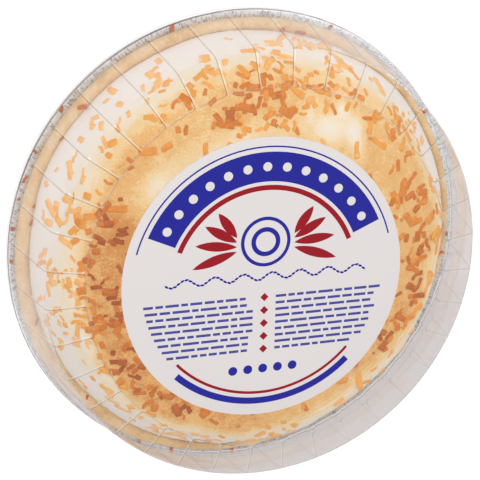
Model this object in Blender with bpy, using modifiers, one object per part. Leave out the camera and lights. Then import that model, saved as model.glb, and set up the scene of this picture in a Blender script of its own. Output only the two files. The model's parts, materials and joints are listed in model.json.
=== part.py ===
# Coconut meringue pie, uncut, in its foil tin, with a clear ribbed lid and a round paper label.
# Metres, +Z up. The origin is the middle of the tin's flat bottom.
# Run with blender --background --python part.py, or from the text editor.

import math
import random

import bmesh
import bpy
from mathutils import Matrix, Vector

MM = 0.001
FIT_GAP = 0.3 * MM               # left between pieces that touch

# Foil tin
TIN_HEIGHT = 30.0 * MM           # from the bottom to the top of the flat flange
TIN_BASE_RADIUS = 91.0 * MM
TIN_MOUTH_RADIUS = 114.5 * MM
TIN_EDGE_RADIUS = 123.4 * MM     # outside of the turned-down edge
TIN_SHEET = 0.4 * MM
TIN_EDGE_DROP = 1.3 * MM
TIN_EDGE_ROUND = 0.8 * MM
TIN_LIP = 1.2 * MM               # rounding from the wall to the flange
TIN_CORNER = 2.6 * MM            # rounding from the bottom to the wall
TIN_PLEATS = 48
TIN_PLEAT_DEPTH = 0.55 * MM

# Pastry
CRUST_OUTER_RADIUS = 120.0 * MM
CRUST_INNER_RADIUS = 113.9 * MM
CRUST_RISE = 8.0 * MM            # height of the pastry rim above the flange
CRUST_RIM_FOOT = 0.5             # share of the rise at which the rim is widest
CRUST_RIM_ANGLES = (150, 110, 70, 25, -20, -62)
CRUST_WALL_INSET = 1.6 * MM      # from the tin's outer wall, clear of its pleats
FILLING_LEVEL = 5.6 * MM         # above the flange, hidden under the meringue
PIE_STEPS = 84                   # shared by the pastry and the meringue, so that they meet

# Meringue: radius and height above the tin's flange, from the middle of the top to the foot
MERINGUE_CURVE = ((0.0, 44.8), (50.0, 44.5), (84.0, 42.2), (98.5, 35.0), (107.0, 20.0), (113.5, 6.0))
MERINGUE_FINENESS = 2            # rings for each stretch of the curve
SWIRL_HEIGHT = 0.9 * MM
SIDE_WAVE = 0.7 * MM
TOP_FROM = 24.0 * MM             # spoon strokes fade in above this height
TOP_FULL = 40.0 * MM

# Waves as lobes round the pie, phase and strength; a stroke also twists on its way out
EDGE_WAVES = ((3, 0.6, 0.45 * MM), (7, 2.1, 0.30 * MM), (13, 4.0, 0.16 * MM))
EDGE_SPREAD = (30, 6, 3.2 * MM)  # the meringue spreads over the pastry: direction, sharpness, reach
RIM_LUMPS = ((5, 1.0, 0.28 * MM), (11, 0.3, 0.20 * MM))
RIM_DIP = (315, 6, 1.6 * MM, 1.4 * MM)   # the rim is pressed here: direction, sharpness, inwards, down
SIDE_WAVES = ((8, 0.4, SIDE_WAVE), (5, 2.4, 0.6 * SIDE_WAVE))
STROKES = ((3, 9.0, 0.0, SWIRL_HEIGHT), (7, -12.0, 1.3, 0.6 * SWIRL_HEIGHT))

# Toasted coconut
SHRED_COUNT = 96
SHRED_SEED = 11
SHRED_LENGTH = (5.0 * MM, 9.0 * MM)
SHRED_WIDTH = (1.9 * MM, 2.9 * MM)
SHRED_THICKNESS = 1.6 * MM
SHRED_SINK = 0.40                # share of the thickness that is pressed into the meringue
SHRED_SPACING = 8.5 * MM
SHRED_BEND = 0.22
SHRED_TAPER = 0.3
SHRED_TOP_RADIUS = 98.0 * MM     # inside it the shreds lie closer together
SHRED_SIDE_SHARE = 0.5
SHRED_THIN_SHARE = 0.25          # how thick they lie away from the beds
SHRED_FOOT_CLEAR = 11.0 * MM     # left bare above the pastry
SHRED_BEDS = ((195, 2, 0.6), (15, 3, 0.6), (80, 4, 0.5))  # direction in degrees, sharpness, strength

# Clear lid
LID_PANELS = 36
LID_SHEET = 0.5 * MM
LID_RISE = 52.0 * MM             # from the tin's flange to the flat top
LID_TOP_RADIUS = 95.0 * MM
LID_SHOULDER_RADIUS = 109.3 * MM
LID_SHOULDER_DROP = 3.1 * MM
LID_SHOULDER_ROUND = 5.0 * MM
LID_WALL_SLOPE = 12.0            # degrees that the wall leans in
LID_FOOT_RADIUS = 122.6 * MM
LID_FOOT_RISE = 3.0 * MM
LID_FOOT_FLARE = 0.6 * MM
LID_FLANGE_RISE = 1.6 * MM       # top of the lid's flange above the tin's
LID_SKIRT_RADIUS = 124.7 * MM
LID_SKIRT_FLARE = 0.3 * MM
LID_SKIRT_DROP = 1.6 * MM        # how far the skirt hangs below the tin's flange
RIB_HALF_ANGLE = math.radians(0.62)
RIB_HEIGHT = 0.4 * MM
RIB_TURN_DROP = 8.0 * MM         # over this drop a rib turns from facing up to facing out
RIB_PHASE = math.radians(5.0)

# Paper label
LABEL_RADIUS = 73.5 * MM
LABEL_THICKNESS = 0.3 * MM
LABEL_OFFSET = (-3.9 * MM, -3.0 * MM)
LABEL_STEPS = 72

SHARP_ANGLE = math.radians(30.0)


def clear_scene():
    for obj in list(bpy.data.objects):
        bpy.data.objects.remove(obj, do_unlink=True)


def new_collection(name):
    collection = bpy.data.collections.new(name)
    bpy.context.scene.collection.children.link(collection)
    return collection


def new_material(name, colour, roughness, metallic=0.0, alpha=1.0):
    material = bpy.data.materials.new(name)
    material.use_nodes = True
    shader = material.node_tree.nodes["Principled BSDF"]
    shader.inputs["Base Color"].default_value = (*colour, 1.0)
    shader.inputs["Roughness"].default_value = roughness
    shader.inputs["Metallic"].default_value = metallic
    shader.inputs["Alpha"].default_value = alpha
    return material


def new_object(name, mesh, collection, material):
    obj = bpy.data.objects.new(name, mesh)
    collection.objects.link(obj)
    mesh.materials.clear()
    mesh.materials.append(material)
    return obj


def evaluated_mesh(obj):
    depsgraph = bpy.context.evaluated_depsgraph_get()
    return bpy.data.meshes.new_from_object(obj.evaluated_get(depsgraph))


def turned_mesh(name, profile, steps):
    """Turn a profile of (radius, height) about Z. It runs down the outer side."""
    line = bpy.data.meshes.new(name + "_profile")
    points = [(radius, 0.0, height) for radius, height in profile]
    line.from_pydata(points, [(i, i + 1) for i in range(len(points) - 1)], [])
    guide = bpy.data.objects.new(name + "_profile", line)
    bpy.context.scene.collection.objects.link(guide)
    screw = guide.modifiers.new("Turn", "SCREW")
    screw.steps = steps
    screw.render_steps = steps
    screw.use_merge_vertices = True
    screw.merge_threshold = 0.00001
    mesh = evaluated_mesh(guide)
    mesh.name = name
    bpy.data.objects.remove(guide, do_unlink=True)
    bpy.data.meshes.remove(line)
    return mesh


def move_vertices(mesh, rule):
    """Move each vertex by a rule on its radius, angle and height."""
    for vertex in mesh.vertices:
        x, y, height = vertex.co
        radius = math.hypot(x, y)
        angle = math.atan2(y, x)
        radius, angle, height = rule(radius, angle, height)
        vertex.co = (radius * math.cos(angle), radius * math.sin(angle), height)


def add_sheet(obj, thickness):
    """Give an open surface the thickness of its sheet, on its inner side."""
    sheet = obj.modifiers.new("Sheet", "SOLIDIFY")
    sheet.thickness = thickness
    sheet.offset = -1.0


def arc(centre, radius, start, end, count):
    """Points of an arc, with both of its ends, at angles in degrees."""
    points = []
    for i in range(count + 1):
        angle = math.radians(start + (end - start) * i / count)
        points.append((centre[0] + radius * math.cos(angle), centre[1] + radius * math.sin(angle)))
    return points


def smooth_curve(points, fineness):
    """A Catmull-Rom curve through the points, with the same number of steps in each stretch."""
    ends = [points[0], *points, points[-1]]
    curve = []
    for before, start, end, after in zip(ends, ends[1:], ends[2:], ends[3:]):
        for i in range(fineness):
            t = i / fineness
            curve.append(tuple(
                0.5 * (2 * b + (c - a) * t + (2 * a - 5 * b + 4 * c - d) * t ** 2
                       + (3 * b - a - 3 * c + d) * t ** 3)
                for a, b, c, d in zip(before, start, end, after)))
    curve.append(points[-1])
    return curve


def smooth_step(value):
    value = min(max(value, 0.0), 1.0)
    return value * value * (3.0 - 2.0 * value)


def waves(terms, angle):
    return sum(strength * math.sin(lobes * angle + phase) for lobes, phase, strength in terms)


def facing(angle, direction, sharpness):
    """1 towards a direction in degrees, falling to 0 on the far side."""
    return (0.5 + 0.5 * math.cos(angle - math.radians(direction))) ** sharpness


def edge_shift(angle):
    """How far the line where meringue and pastry meet lies outside its circle."""
    direction, sharpness, reach = EDGE_SPREAD
    return waves(EDGE_WAVES, angle) + reach * facing(angle, direction, sharpness)


def make_tin(collection, material):
    """Thin pan: flat bottom, pleated wall, flat flange and a turned-down edge."""
    flange = TIN_HEIGHT - TIN_SHEET
    edge = TIN_EDGE_RADIUS - TIN_SHEET
    profile = [
        (edge, TIN_HEIGHT - TIN_EDGE_DROP),
        *arc((edge - TIN_EDGE_ROUND, flange - TIN_EDGE_ROUND), TIN_EDGE_ROUND, 30.0, 90.0, 1),
        (TIN_MOUTH_RADIUS + TIN_LIP, flange),
        (TIN_MOUTH_RADIUS, flange - TIN_LIP),
        ((TIN_MOUTH_RADIUS + TIN_BASE_RADIUS) / 2.0 + TIN_LIP, TIN_HEIGHT / 2.0),
        (TIN_BASE_RADIUS + TIN_CORNER / 2.0, TIN_CORNER),
        (TIN_BASE_RADIUS - TIN_CORNER / 2.0, 0.0),
        (0.0, 0.0),
    ]
    mesh = turned_mesh("foil_tin", profile, TIN_PLEATS * 2)

    def pleat(radius, angle, height):
        """Fold the wall in and out, but leave the bottom, the flange and the edge round."""
        on_wall = smooth_step(height / TIN_CORNER) * smooth_step((flange - height) / TIN_LIP)
        if radius < TIN_MOUTH_RADIUS + TIN_LIP:
            radius += math.cos(TIN_PLEATS * angle) * on_wall * TIN_PLEAT_DEPTH / 2.0
        return radius, angle, height

    move_vertices(mesh, pleat)
    tin = new_object("foil_tin", mesh, collection, material)
    add_sheet(tin, TIN_SHEET)
    return tin


def make_crust(collection, material):
    """Pastry shell and what it holds, as one uncut solid, with a soft uneven rim."""
    flange = TIN_HEIGHT
    bottom = TIN_SHEET + FIT_GAP
    rim_middle = (CRUST_OUTER_RADIUS + CRUST_INNER_RADIUS) / 2.0
    rim_half = (CRUST_OUTER_RADIUS - CRUST_INNER_RADIUS) / 2.0
    rim = []
    for angle in map(math.radians, CRUST_RIM_ANGLES):
        rise = CRUST_RIM_FOOT + (1.0 - CRUST_RIM_FOOT) * math.sin(angle)
        rim.append((rim_middle + rim_half * math.cos(angle), flange + CRUST_RISE * rise))
    profile = [
        (0.0, flange + FILLING_LEVEL),
        (CRUST_INNER_RADIUS, flange + FILLING_LEVEL),
        *rim,
        (rim_middle, flange + FIT_GAP),
        (TIN_MOUTH_RADIUS - FIT_GAP, flange + FIT_GAP),
        (TIN_MOUTH_RADIUS - CRUST_WALL_INSET, flange - 2.0 * TIN_LIP),
        (TIN_BASE_RADIUS + TIN_CORNER / 2.0 - CRUST_WALL_INSET, bottom + TIN_CORNER),
        (TIN_BASE_RADIUS - TIN_CORNER, bottom),
        (0.0, bottom),
    ]
    mesh = turned_mesh("pie_crust", profile, PIE_STEPS)

    def uneven(radius, angle, height):
        """Lumps along the top of the rim, a dip on one side, and an inner edge that wanders."""
        above_flange = height > flange + 1.5 * FIT_GAP
        if above_flange and radius > CRUST_INNER_RADIUS - MM:
            direction, sharpness, inwards, down = RIM_DIP
            dip = facing(angle, direction, sharpness)
            outwards = (radius - CRUST_INNER_RADIUS) / (rim_half * 2.0)
            if radius > CRUST_INNER_RADIUS + FIT_GAP / 2.0:
                lift = waves(RIM_LUMPS, angle) - down * dip
                height += lift * smooth_step((height - flange) / CRUST_RISE)
            radius += edge_shift(angle) * (1.0 - outwards) - inwards * dip * outwards
        return radius, angle, height

    move_vertices(mesh, uneven)
    return new_object("pie_crust", mesh, collection, material)


def meringue_profile():
    """The meringue's outer curve from the middle of its top to its foot, then its flat base."""
    curve = smooth_curve(MERINGUE_CURVE, MERINGUE_FINENESS)
    points = [(radius * MM, TIN_HEIGHT + height * MM) for radius, height in curve]
    points.append((0.0, points[-1][1]))
    return points


def meringue_swell(radius, angle, height):
    """Broad spoon strokes on top, shallow waves round the side, and the foot that meets the pastry."""
    foot_radius, foot_rise = (size * MM for size in MERINGUE_CURVE[-1])
    share = radius / foot_radius
    above = height - TIN_HEIGHT
    top = smooth_step((above - TOP_FROM) / (TOP_FULL - TOP_FROM))
    off_middle = smooth_step(share * 4.0)
    for lobes, twist, phase, strength in STROKES:
        height += strength * math.sin(lobes * angle + twist * share + phase) * top * off_middle
    off_foot = smooth_step((above - foot_rise) / (TOP_FROM - foot_rise))
    radius += waves(SIDE_WAVES, angle) * off_foot * off_middle
    if share > 0.9:
        radius += edge_shift(angle) * (1.0 - off_foot)
    return radius, angle, height


def slope_length(profile):
    """Distance down the slope from the top's middle to the foot."""
    return sum(math.dist(a, b) for a, b in zip(profile[:-2], profile[1:-1]))


def surface_point(profile, way, angle):
    """Point and outward normal at a distance down the slope from the top's middle."""
    index = 0
    span = math.dist(profile[0], profile[1])
    while way > span and index < len(profile) - 3:
        way -= span
        index += 1
        span = math.dist(profile[index], profile[index + 1])

    def at(part, turn):
        (r0, z0), (r1, z1) = profile[index], profile[index + 1]
        radius, _, height = meringue_swell(r0 + (r1 - r0) * part, turn, z0 + (z1 - z0) * part)
        return Vector((radius * math.cos(turn), radius * math.sin(turn), height))

    step = 0.02
    here = at(way / span, angle)
    down = at(way / span + step, angle) - here
    around = at(way / span, angle + step) - here
    return here, down.cross(around).normalized()


def shred_mesh(name, length, width, thickness, bend):
    """A short flat ribbon of coconut, bent along its length and narrower at its ends."""
    mesh = bpy.data.meshes.new(name)
    form = bmesh.new()
    bmesh.ops.create_cube(form, size=1.0)
    bmesh.ops.bisect_plane(form, geom=form.verts[:] + form.edges[:] + form.faces[:],
                           plane_co=(0.0, 0.0, 0.0), plane_no=(1.0, 0.0, 0.0))
    for vertex in form.verts:
        along, across, up = vertex.co
        across *= width * (1.0 - SHRED_TAPER * abs(along) * 2.0)
        vertex.co = (along * length, across + bend * length * along * along, up * thickness)
    bmesh.ops.recalc_face_normals(form, faces=form.faces[:])
    form.to_mesh(mesh)
    form.free()
    return mesh


def shred_weight(angle, radius):
    """Where toasted coconut lies thick: beds on three sides of the top, thin elsewhere."""
    weight = SHRED_THIN_SHARE
    for direction, sharpness, strength in SHRED_BEDS:
        weight += strength * facing(angle, direction, sharpness)
    if radius > SHRED_TOP_RADIUS:
        weight *= SHRED_SIDE_SHARE
    return min(weight, 1.0)


def make_shreds(profile, collection, material):
    """Scatter the largest shreds over the meringue, spaced apart, longest first."""
    draw = random.Random(SHRED_SEED)
    placed = []
    reach = slope_length(profile) - SHRED_FOOT_CLEAR
    while len(placed) < SHRED_COUNT:
        angle = draw.uniform(0.0, math.tau)
        way = reach * draw.random()
        turn = draw.uniform(0.0, math.tau)
        chance = draw.random()
        point, normal = surface_point(profile, way, angle)
        radius = math.hypot(point.x, point.y)
        if chance > radius / profile[-2][0] * shred_weight(angle, radius):
            continue
        if any((point - other).length < SHRED_SPACING for other in placed):
            continue
        shrink = len(placed) / SHRED_COUNT
        length = SHRED_LENGTH[1] + (SHRED_LENGTH[0] - SHRED_LENGTH[1]) * shrink
        width = draw.uniform(*SHRED_WIDTH)
        bend = draw.uniform(-SHRED_BEND, SHRED_BEND)
        mesh = shred_mesh("shred", length, width, SHRED_THICKNESS, bend)
        shred = new_object("shred_%03d" % len(placed), mesh, collection, material)
        tilt = normal.to_track_quat("Z", "Y").to_matrix().to_4x4()
        lift = normal * SHRED_THICKNESS * (0.5 - SHRED_SINK)
        shred.matrix_world = Matrix.Translation(point + lift) @ tilt @ Matrix.Rotation(turn, 4, "Z")
        placed.append(point)


def drop_loose_scraps(mesh):
    """Keep the largest body of a mesh, and drop shreds that touch nothing."""
    form = bmesh.new()
    form.from_mesh(mesh)
    left = set(form.verts)
    bodies = []
    while left:
        body = set()
        front = [left.pop()]
        while front:
            vertex = front.pop()
            body.add(vertex)
            for link in vertex.link_edges:
                other = link.other_vert(vertex)
                if other in left:
                    left.discard(other)
                    front.append(other)
        bodies.append(body)
    largest = max(bodies, key=len)
    scraps = [vertex for body in bodies if body is not largest for vertex in body]
    bmesh.ops.delete(form, geom=scraps, context="VERTS")
    form.to_mesh(mesh)
    form.free()


def make_meringue(collection, to_fuse, material):
    """Mound of meringue with the toasted coconut fused to it."""
    profile = meringue_profile()
    mesh = turned_mesh("meringue", profile, PIE_STEPS)
    move_vertices(mesh, meringue_swell)
    meringue = new_object("meringue", mesh, collection, material)
    make_shreds(profile, to_fuse, material)
    join = meringue.modifiers.new("Coconut", "BOOLEAN")
    join.operation = "UNION"
    join.operand_type = "COLLECTION"
    join.collection = to_fuse
    join.solver = "EXACT"
    fused = evaluated_mesh(meringue)
    drop_loose_scraps(fused)
    meringue.modifiers.clear()
    meringue.data = fused
    for shred in list(to_fuse.objects):
        bpy.data.objects.remove(shred, do_unlink=True)
    return meringue


def lid_profile():
    """The lid's outer face, from its flat top over the shoulder to the gripping skirt."""
    top = TIN_HEIGHT + LID_RISE
    flange = TIN_HEIGHT + LID_FLANGE_RISE
    slope = math.degrees(math.atan2(LID_SHOULDER_DROP, LID_SHOULDER_RADIUS - LID_TOP_RADIUS))
    centre = (LID_SHOULDER_RADIUS, top - LID_SHOULDER_DROP - LID_SHOULDER_ROUND)
    return [
        (0.0, top),
        (LID_TOP_RADIUS, top),
        *arc(centre, LID_SHOULDER_ROUND, 90.0 - slope, LID_WALL_SLOPE, 3),
        (LID_FOOT_RADIUS, TIN_HEIGHT + LID_FOOT_RISE),
        (LID_FOOT_RADIUS + LID_FOOT_FLARE, flange),
        (LID_SKIRT_RADIUS - LID_SKIRT_FLARE, flange),
        (LID_SKIRT_RADIUS, TIN_HEIGHT - LID_SKIRT_DROP),
    ]


def make_lid(collection, material):
    """Clear shell of flat panels that meet at narrow raised ribs, open below."""
    top = TIN_HEIGHT + LID_RISE
    foot = TIN_HEIGHT + LID_FLANGE_RISE
    columns = 3                  # for each panel: its rib's crest and the two edges beside it
    mesh = turned_mesh("clear_lid", lid_profile(), LID_PANELS * columns)
    column_angle = math.tau / (LID_PANELS * columns)

    def panel(radius, angle, height):
        """Pull two columns of each panel in to its rib, and lift the rib's crest."""
        index = round(angle / column_angle)
        rib = round(index / columns)
        beside = index - columns * rib
        turn = rib * columns * column_angle + beside * RIB_HALF_ANGLE + RIB_PHASE
        on_wall = radius > LID_TOP_RADIUS + MM and height > foot + FIT_GAP
        if beside == 0 and on_wall:
            facing_out = smooth_step((top - height) / RIB_TURN_DROP)
            radius += RIB_HEIGHT * facing_out
            height += RIB_HEIGHT * (1.0 - facing_out)
        return radius, turn, height

    move_vertices(mesh, panel)
    lid = new_object("clear_lid", mesh, collection, material)
    add_sheet(lid, LID_SHEET)
    return lid


def make_label(collection, material):
    """Round paper label that lies on the lid's flat top, a little off its middle."""
    bottom = TIN_HEIGHT + LID_RISE + FIT_GAP
    bpy.ops.mesh.primitive_cylinder_add(
        vertices=LABEL_STEPS, radius=LABEL_RADIUS, depth=LABEL_THICKNESS,
        location=(*LABEL_OFFSET, bottom + LABEL_THICKNESS / 2.0))
    label = bpy.context.object
    label.name = "paper_label"
    for holder in list(label.users_collection):
        holder.objects.unlink(label)
    collection.objects.link(label)
    label.data.materials.append(material)
    return label


def main():
    clear_scene()
    pie = new_collection("coconut_meringue_pie")
    loose = new_collection("coconut_to_fuse")
    foil = new_material("foil", (0.72, 0.72, 0.71), 0.35, metallic=1.0)
    pastry = new_material("pastry", (0.78, 0.55, 0.30), 0.75)
    toasted = new_material("toasted_meringue", (0.86, 0.68, 0.42), 0.6)
    plastic = new_material("clear_plastic", (0.95, 0.95, 0.95), 0.08, alpha=0.25)
    paper = new_material("label_paper", (0.82, 0.80, 0.82), 0.7)

    pieces = [
        make_tin(pie, foil),
        make_crust(pie, pastry),
        make_meringue(pie, loose, toasted),
        make_lid(pie, plastic),
        make_label(pie, paper),
    ]
    for piece in pieces:
        piece.data.shade_smooth()
        piece.data.set_sharp_from_angle(angle=SHARP_ANGLE)


main()
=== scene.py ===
# %% [markdown]
# # A coconut meringue pie under its clear lid
# The pie stands in a thin foil tin. A pale pastry rim shows inside the tin's flange, then a mound of
# meringue, white down its side and toasted gold on top, with ribbons of toasted coconut all over it.
# A clear lid of thirty-six flat panels grips the tin's edge, and a round paper label lies on the lid.
#
# The fixed solids are loaded first. Every piece made here lies where its solid lies, so each size
# below is the real size in metres, and a few of them are read from the imported model's boxes.

# %% Load the frame
import json
import math
import random
from contextlib import contextmanager

import bmesh
import bpy
import numpy as np
from mathutils import Matrix, Vector, noise
from mathutils.bvhtree import BVHTree

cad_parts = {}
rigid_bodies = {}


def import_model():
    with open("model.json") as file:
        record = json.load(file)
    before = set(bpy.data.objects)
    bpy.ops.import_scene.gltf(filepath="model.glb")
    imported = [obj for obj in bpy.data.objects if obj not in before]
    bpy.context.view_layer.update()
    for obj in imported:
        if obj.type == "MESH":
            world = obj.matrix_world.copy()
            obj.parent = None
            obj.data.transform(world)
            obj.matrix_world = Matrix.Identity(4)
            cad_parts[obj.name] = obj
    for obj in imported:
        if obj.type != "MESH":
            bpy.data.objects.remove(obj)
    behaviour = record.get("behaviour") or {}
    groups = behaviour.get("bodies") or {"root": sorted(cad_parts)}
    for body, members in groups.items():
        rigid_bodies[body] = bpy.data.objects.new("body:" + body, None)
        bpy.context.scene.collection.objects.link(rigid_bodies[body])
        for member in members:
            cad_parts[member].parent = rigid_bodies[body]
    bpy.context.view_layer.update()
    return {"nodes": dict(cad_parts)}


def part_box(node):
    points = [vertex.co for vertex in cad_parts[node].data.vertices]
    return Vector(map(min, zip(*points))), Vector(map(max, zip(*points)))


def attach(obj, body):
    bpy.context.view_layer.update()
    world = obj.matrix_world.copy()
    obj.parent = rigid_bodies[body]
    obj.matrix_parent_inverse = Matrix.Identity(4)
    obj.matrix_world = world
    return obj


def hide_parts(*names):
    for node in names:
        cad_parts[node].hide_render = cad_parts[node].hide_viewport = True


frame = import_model()
scene = bpy.context.scene

MM = 0.001
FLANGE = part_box("foil_tin")[1].z         # top of the tin's flat flange
LID_TOP = FLANGE + 52.0 * MM             # flat top of the clear lid
print("nodes", sorted(frame["nodes"]), "flange at %.1f mm" % (FLANGE / MM))

# %% [markdown]
# ## Colours
# Colours are picked the way a picture editor shows them, from 0 to 255. Blender's shaders want linear
# light, so one small helper converts each of them. It is used for every paint, crumb and crust below.


# %% A colour from 0 to 255, as linear light
def linear(red, green, blue):
    def one(value):
        value /= 255.0
        return value / 12.92 if value <= 0.04045 else ((value + 0.055) / 1.055) ** 2.4
    return (one(red), one(green), one(blue), 1.0)


# %% [markdown]
# ## Turned shapes
# Tin, pastry and meringue are all turned shapes: one profile, carried round the upright axis. A grid of
# rows and columns gives full control, because a rule can then move each point by its radius, its turn
# and its height. Points that fall on the axis are merged to a single pole, and a closed shape has its
# normals recalculated, so that its faces point outwards.


# %% A grid of points as a mesh
MERGE = 0.002 * MM                       # points nearer than this are one


def round_axis(radius, turn, height):
    return np.stack([radius * np.cos(turn), radius * np.sin(turn), height], -1)


def grid_mesh(name, points, around=True):
    """Quads over rows and columns of points; around joins the last column to the first."""
    rows, columns = points.shape[:2]
    spans = columns if around else columns - 1
    row = np.arange(rows - 1)[:, None] * columns
    left = np.arange(spans)[None, :]
    right = (left + 1) % columns
    quads = np.stack([row + left, row + columns + left, row + columns + right, row + right], -1)
    mesh = bpy.data.meshes.new(name)
    mesh.from_pydata(points.reshape(-1, 3).tolist(), [], quads.reshape(-1, 4).tolist())
    return mesh


@contextmanager
def reshaping(mesh):
    """Open a mesh for editing, and write it back at the end."""
    form = bmesh.new()
    form.from_mesh(mesh)
    yield form
    form.to_mesh(mesh)
    form.free()


def clean(mesh, outwards=True):
    """Merge points that lie together, drop faces without area, and turn the faces outwards."""
    with reshaping(mesh) as form:
        bmesh.ops.remove_doubles(form, verts=form.verts, dist=MERGE)
        bmesh.ops.dissolve_degenerate(form, edges=form.edges, dist=MERGE)
        if outwards:
            bmesh.ops.recalc_face_normals(form, faces=form.faces)
    return mesh


def turned(name, profile, columns, rule=None):
    """Carry (radius, height) points once round Z, each moved by rule(radius, turn, height)."""
    radii, heights = np.array(profile, float).T
    radius, turn = np.meshgrid(radii, np.arange(columns) * math.tau / columns, indexing="ij")
    height = np.repeat(heights[:, None], columns, 1)
    if rule:
        radius, turn, height = rule(radius, turn, height)
    return clean(grid_mesh(name, round_axis(radius, turn, height)))


# %% [markdown]
# Some rules come after the mesh is made. They ask where its points are, and they keep numbers on them
# that a finish or a Geometry Nodes tree reads later.


# %% Places of the points, and numbers on them
def places(mesh):
    """Each point's place, and its radius and turn about the upright axis."""
    co = np.array([v.co for v in mesh.vertices])
    return co, np.hypot(co[:, 0], co[:, 1]), np.arctan2(co[:, 1], co[:, 0])


def paint(mesh, name, values):
    layer = mesh.attributes.get(name) or mesh.attributes.new(name, "FLOAT", "POINT")
    layer.data.foreach_set("value", np.asarray(values, np.float32).ravel())


# %% [markdown]
# Profiles are drawn from a few points. An arc rounds a corner, and a Catmull-Rom curve passes smoothly
# through the points of a soft form such as the meringue.


# %% Arcs, smooth curves and soft steps
def arc(centre, radius, start, end, count):
    angles = np.radians(np.linspace(start, end, count + 1))
    return [(centre[0] + radius * math.cos(a), centre[1] + radius * math.sin(a)) for a in angles]


def smooth_curve(points, fineness):
    ends = [points[0], *points, points[-1]]
    curve = []
    for before, start, end, after in zip(ends, ends[1:], ends[2:], ends[3:]):
        for t in np.arange(fineness) / fineness:
            curve.append(tuple(
                0.5 * (2 * b + (c - a) * t + (2 * a - 5 * b + 4 * c - d) * t ** 2
                       + (3 * b - a - 3 * c + d) * t ** 3)
                for a, b, c, d in zip(before, start, end, after)))
    return curve + [points[-1]]


def soft_step(value, start=0.0, end=1.0):
    t = np.clip((value - start) / (end - start), 0.0, 1.0)
    return t * t * (3.0 - 2.0 * t)


def waves(terms, turn):
    return sum(strength * np.sin(lobes * turn + phase) for lobes, phase, strength in terms)


def facing(turn, direction, sharpness):
    """1 towards a direction in degrees, falling to 0 on the far side."""
    return (0.5 + 0.5 * np.cos(turn - math.radians(direction))) ** sharpness


# %% [markdown]
# Natural surfaces need some unevenness in the mesh itself. Blender's own noise gives a smooth value for
# any place, so the same place has the same value in every run.


# %% Smooth noise over a grid of places
def rough(x, y, z, pitch, octaves=2):
    """Noise from -1 to 1 whose lumps are about one pitch wide."""
    points = np.stack(np.broadcast_arrays(x, y, z), -1).reshape(-1, 3) / pitch
    values = [noise.fractal(Vector(p), 1.0, 2.0, octaves) for p in points]
    return np.array(values).reshape(np.broadcast(x, y, z).shape)


# %% [markdown]
# ## Materials
# A handful of helpers keep the node trees readable: one adds a node with its settings, one builds a
# ramp of colours, and one makes a material with its Principled shader ready to use.


# %% Node helpers
def plug(tree, socket, value):
    """Link a socket from another one, or give it a plain value."""
    if isinstance(value, bpy.types.NodeSocket):
        tree.links.new(value, socket)
    else:
        socket.default_value = value


def add(tree, kind, inputs=(), **settings):
    """Add a node. inputs maps a socket's name or number to a value, or to a socket to link from."""
    made = tree.nodes.new(kind)
    for key, value in settings.items():
        setattr(made, key, value)
    for key, value in dict(inputs).items():
        plug(tree, made.inputs[key], value)
    return made


def ramp(tree, value, stops):
    """A smooth colour ramp over (place, colour) stops."""
    made = add(tree, "ShaderNodeValToRGB", {0: value})
    made.color_ramp.interpolation = "EASE"
    points = made.color_ramp.elements
    while len(points) < len(stops):
        points.new(0.5)
    for point, (place, colour) in zip(points, stops):
        point.position = place
        point.color = colour
    return made.outputs["Color"]


def blend_colour(tree, share, first, second, how="MIX"):
    made = add(tree, "ShaderNodeMix", {"Factor": share}, data_type="RGBA", blend_type=how)
    plug(tree, made.inputs[6], first)
    plug(tree, made.inputs[7], second)
    return made.outputs[2]


def math_node(tree, how, *values, clamp=False):
    return add(tree, "ShaderNodeMath", dict(enumerate(values)), operation=how, use_clamp=clamp).outputs[0]


def painted(tree, name):
    """The number of this name on the mesh's points."""
    return add(tree, "ShaderNodeAttribute", attribute_name=name).outputs["Fac"]


def here(tree):
    """The place of a point, which stays fixed to its piece."""
    return add(tree, "ShaderNodeTexCoord").outputs["Object"]


def new_material(name, inputs):
    """A material with a Principled shader, whose plain values are set on its own sockets."""
    made = bpy.data.materials.new(name)
    made.use_nodes = True
    shader = made.node_tree.nodes["Principled BSDF"]
    for key, value in inputs.items():
        plug(made.node_tree, shader.inputs[key], value)
    return made, made.node_tree, shader


# %% [markdown]
# Several finishes share one effect: soft blotches of two sizes, as in toasted sugar, baked pastry and
# pressed paper. It is one node group with named inputs. It reads Object coordinates, so the pattern is
# fixed to the piece and keeps its real scale, and it puts out plain values only.


# %% Node group: soft blotches of two sizes
def blotch_group():
    tree = bpy.data.node_groups.new("Blotches", "ShaderNodeTree")
    for name, value in (("Broad Size", 0.02), ("Fine Size", 0.003), ("Fine Share", 0.4)):
        tree.interface.new_socket(name, in_out="INPUT", socket_type="NodeSocketFloat").default_value = value
    for name in ("Value", "Fine"):
        tree.interface.new_socket(name, in_out="OUTPUT", socket_type="NodeSocketFloat")
    given = add(tree, "NodeGroupInput").outputs
    place = here(tree)
    layers = []
    for size, detail in (("Broad Size", 3.0), ("Fine Size", 5.0)):
        scale = math_node(tree, "DIVIDE", 1.0, given[size])
        noisy = add(tree, "ShaderNodeTexNoise", {"Vector": place, "Scale": scale, "Detail": detail})
        layers.append(noisy.outputs[0])
    both = add(tree, "ShaderNodeMix", {"Factor": given["Fine Share"], 2: layers[0], 3: layers[1]})
    add(tree, "NodeGroupOutput", {"Value": both.outputs[0], "Fine": layers[1]})
    return tree


BLOTCHES = blotch_group()


def blotches(tree, broad, fine, share):
    made = add(tree, "ShaderNodeGroup", node_tree=BLOTCHES)
    for key, value in (("Broad Size", broad), ("Fine Size", fine), ("Fine Share", share)):
        made.inputs[key].default_value = value
    return made.outputs["Value"], made.outputs["Fine"]


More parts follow.
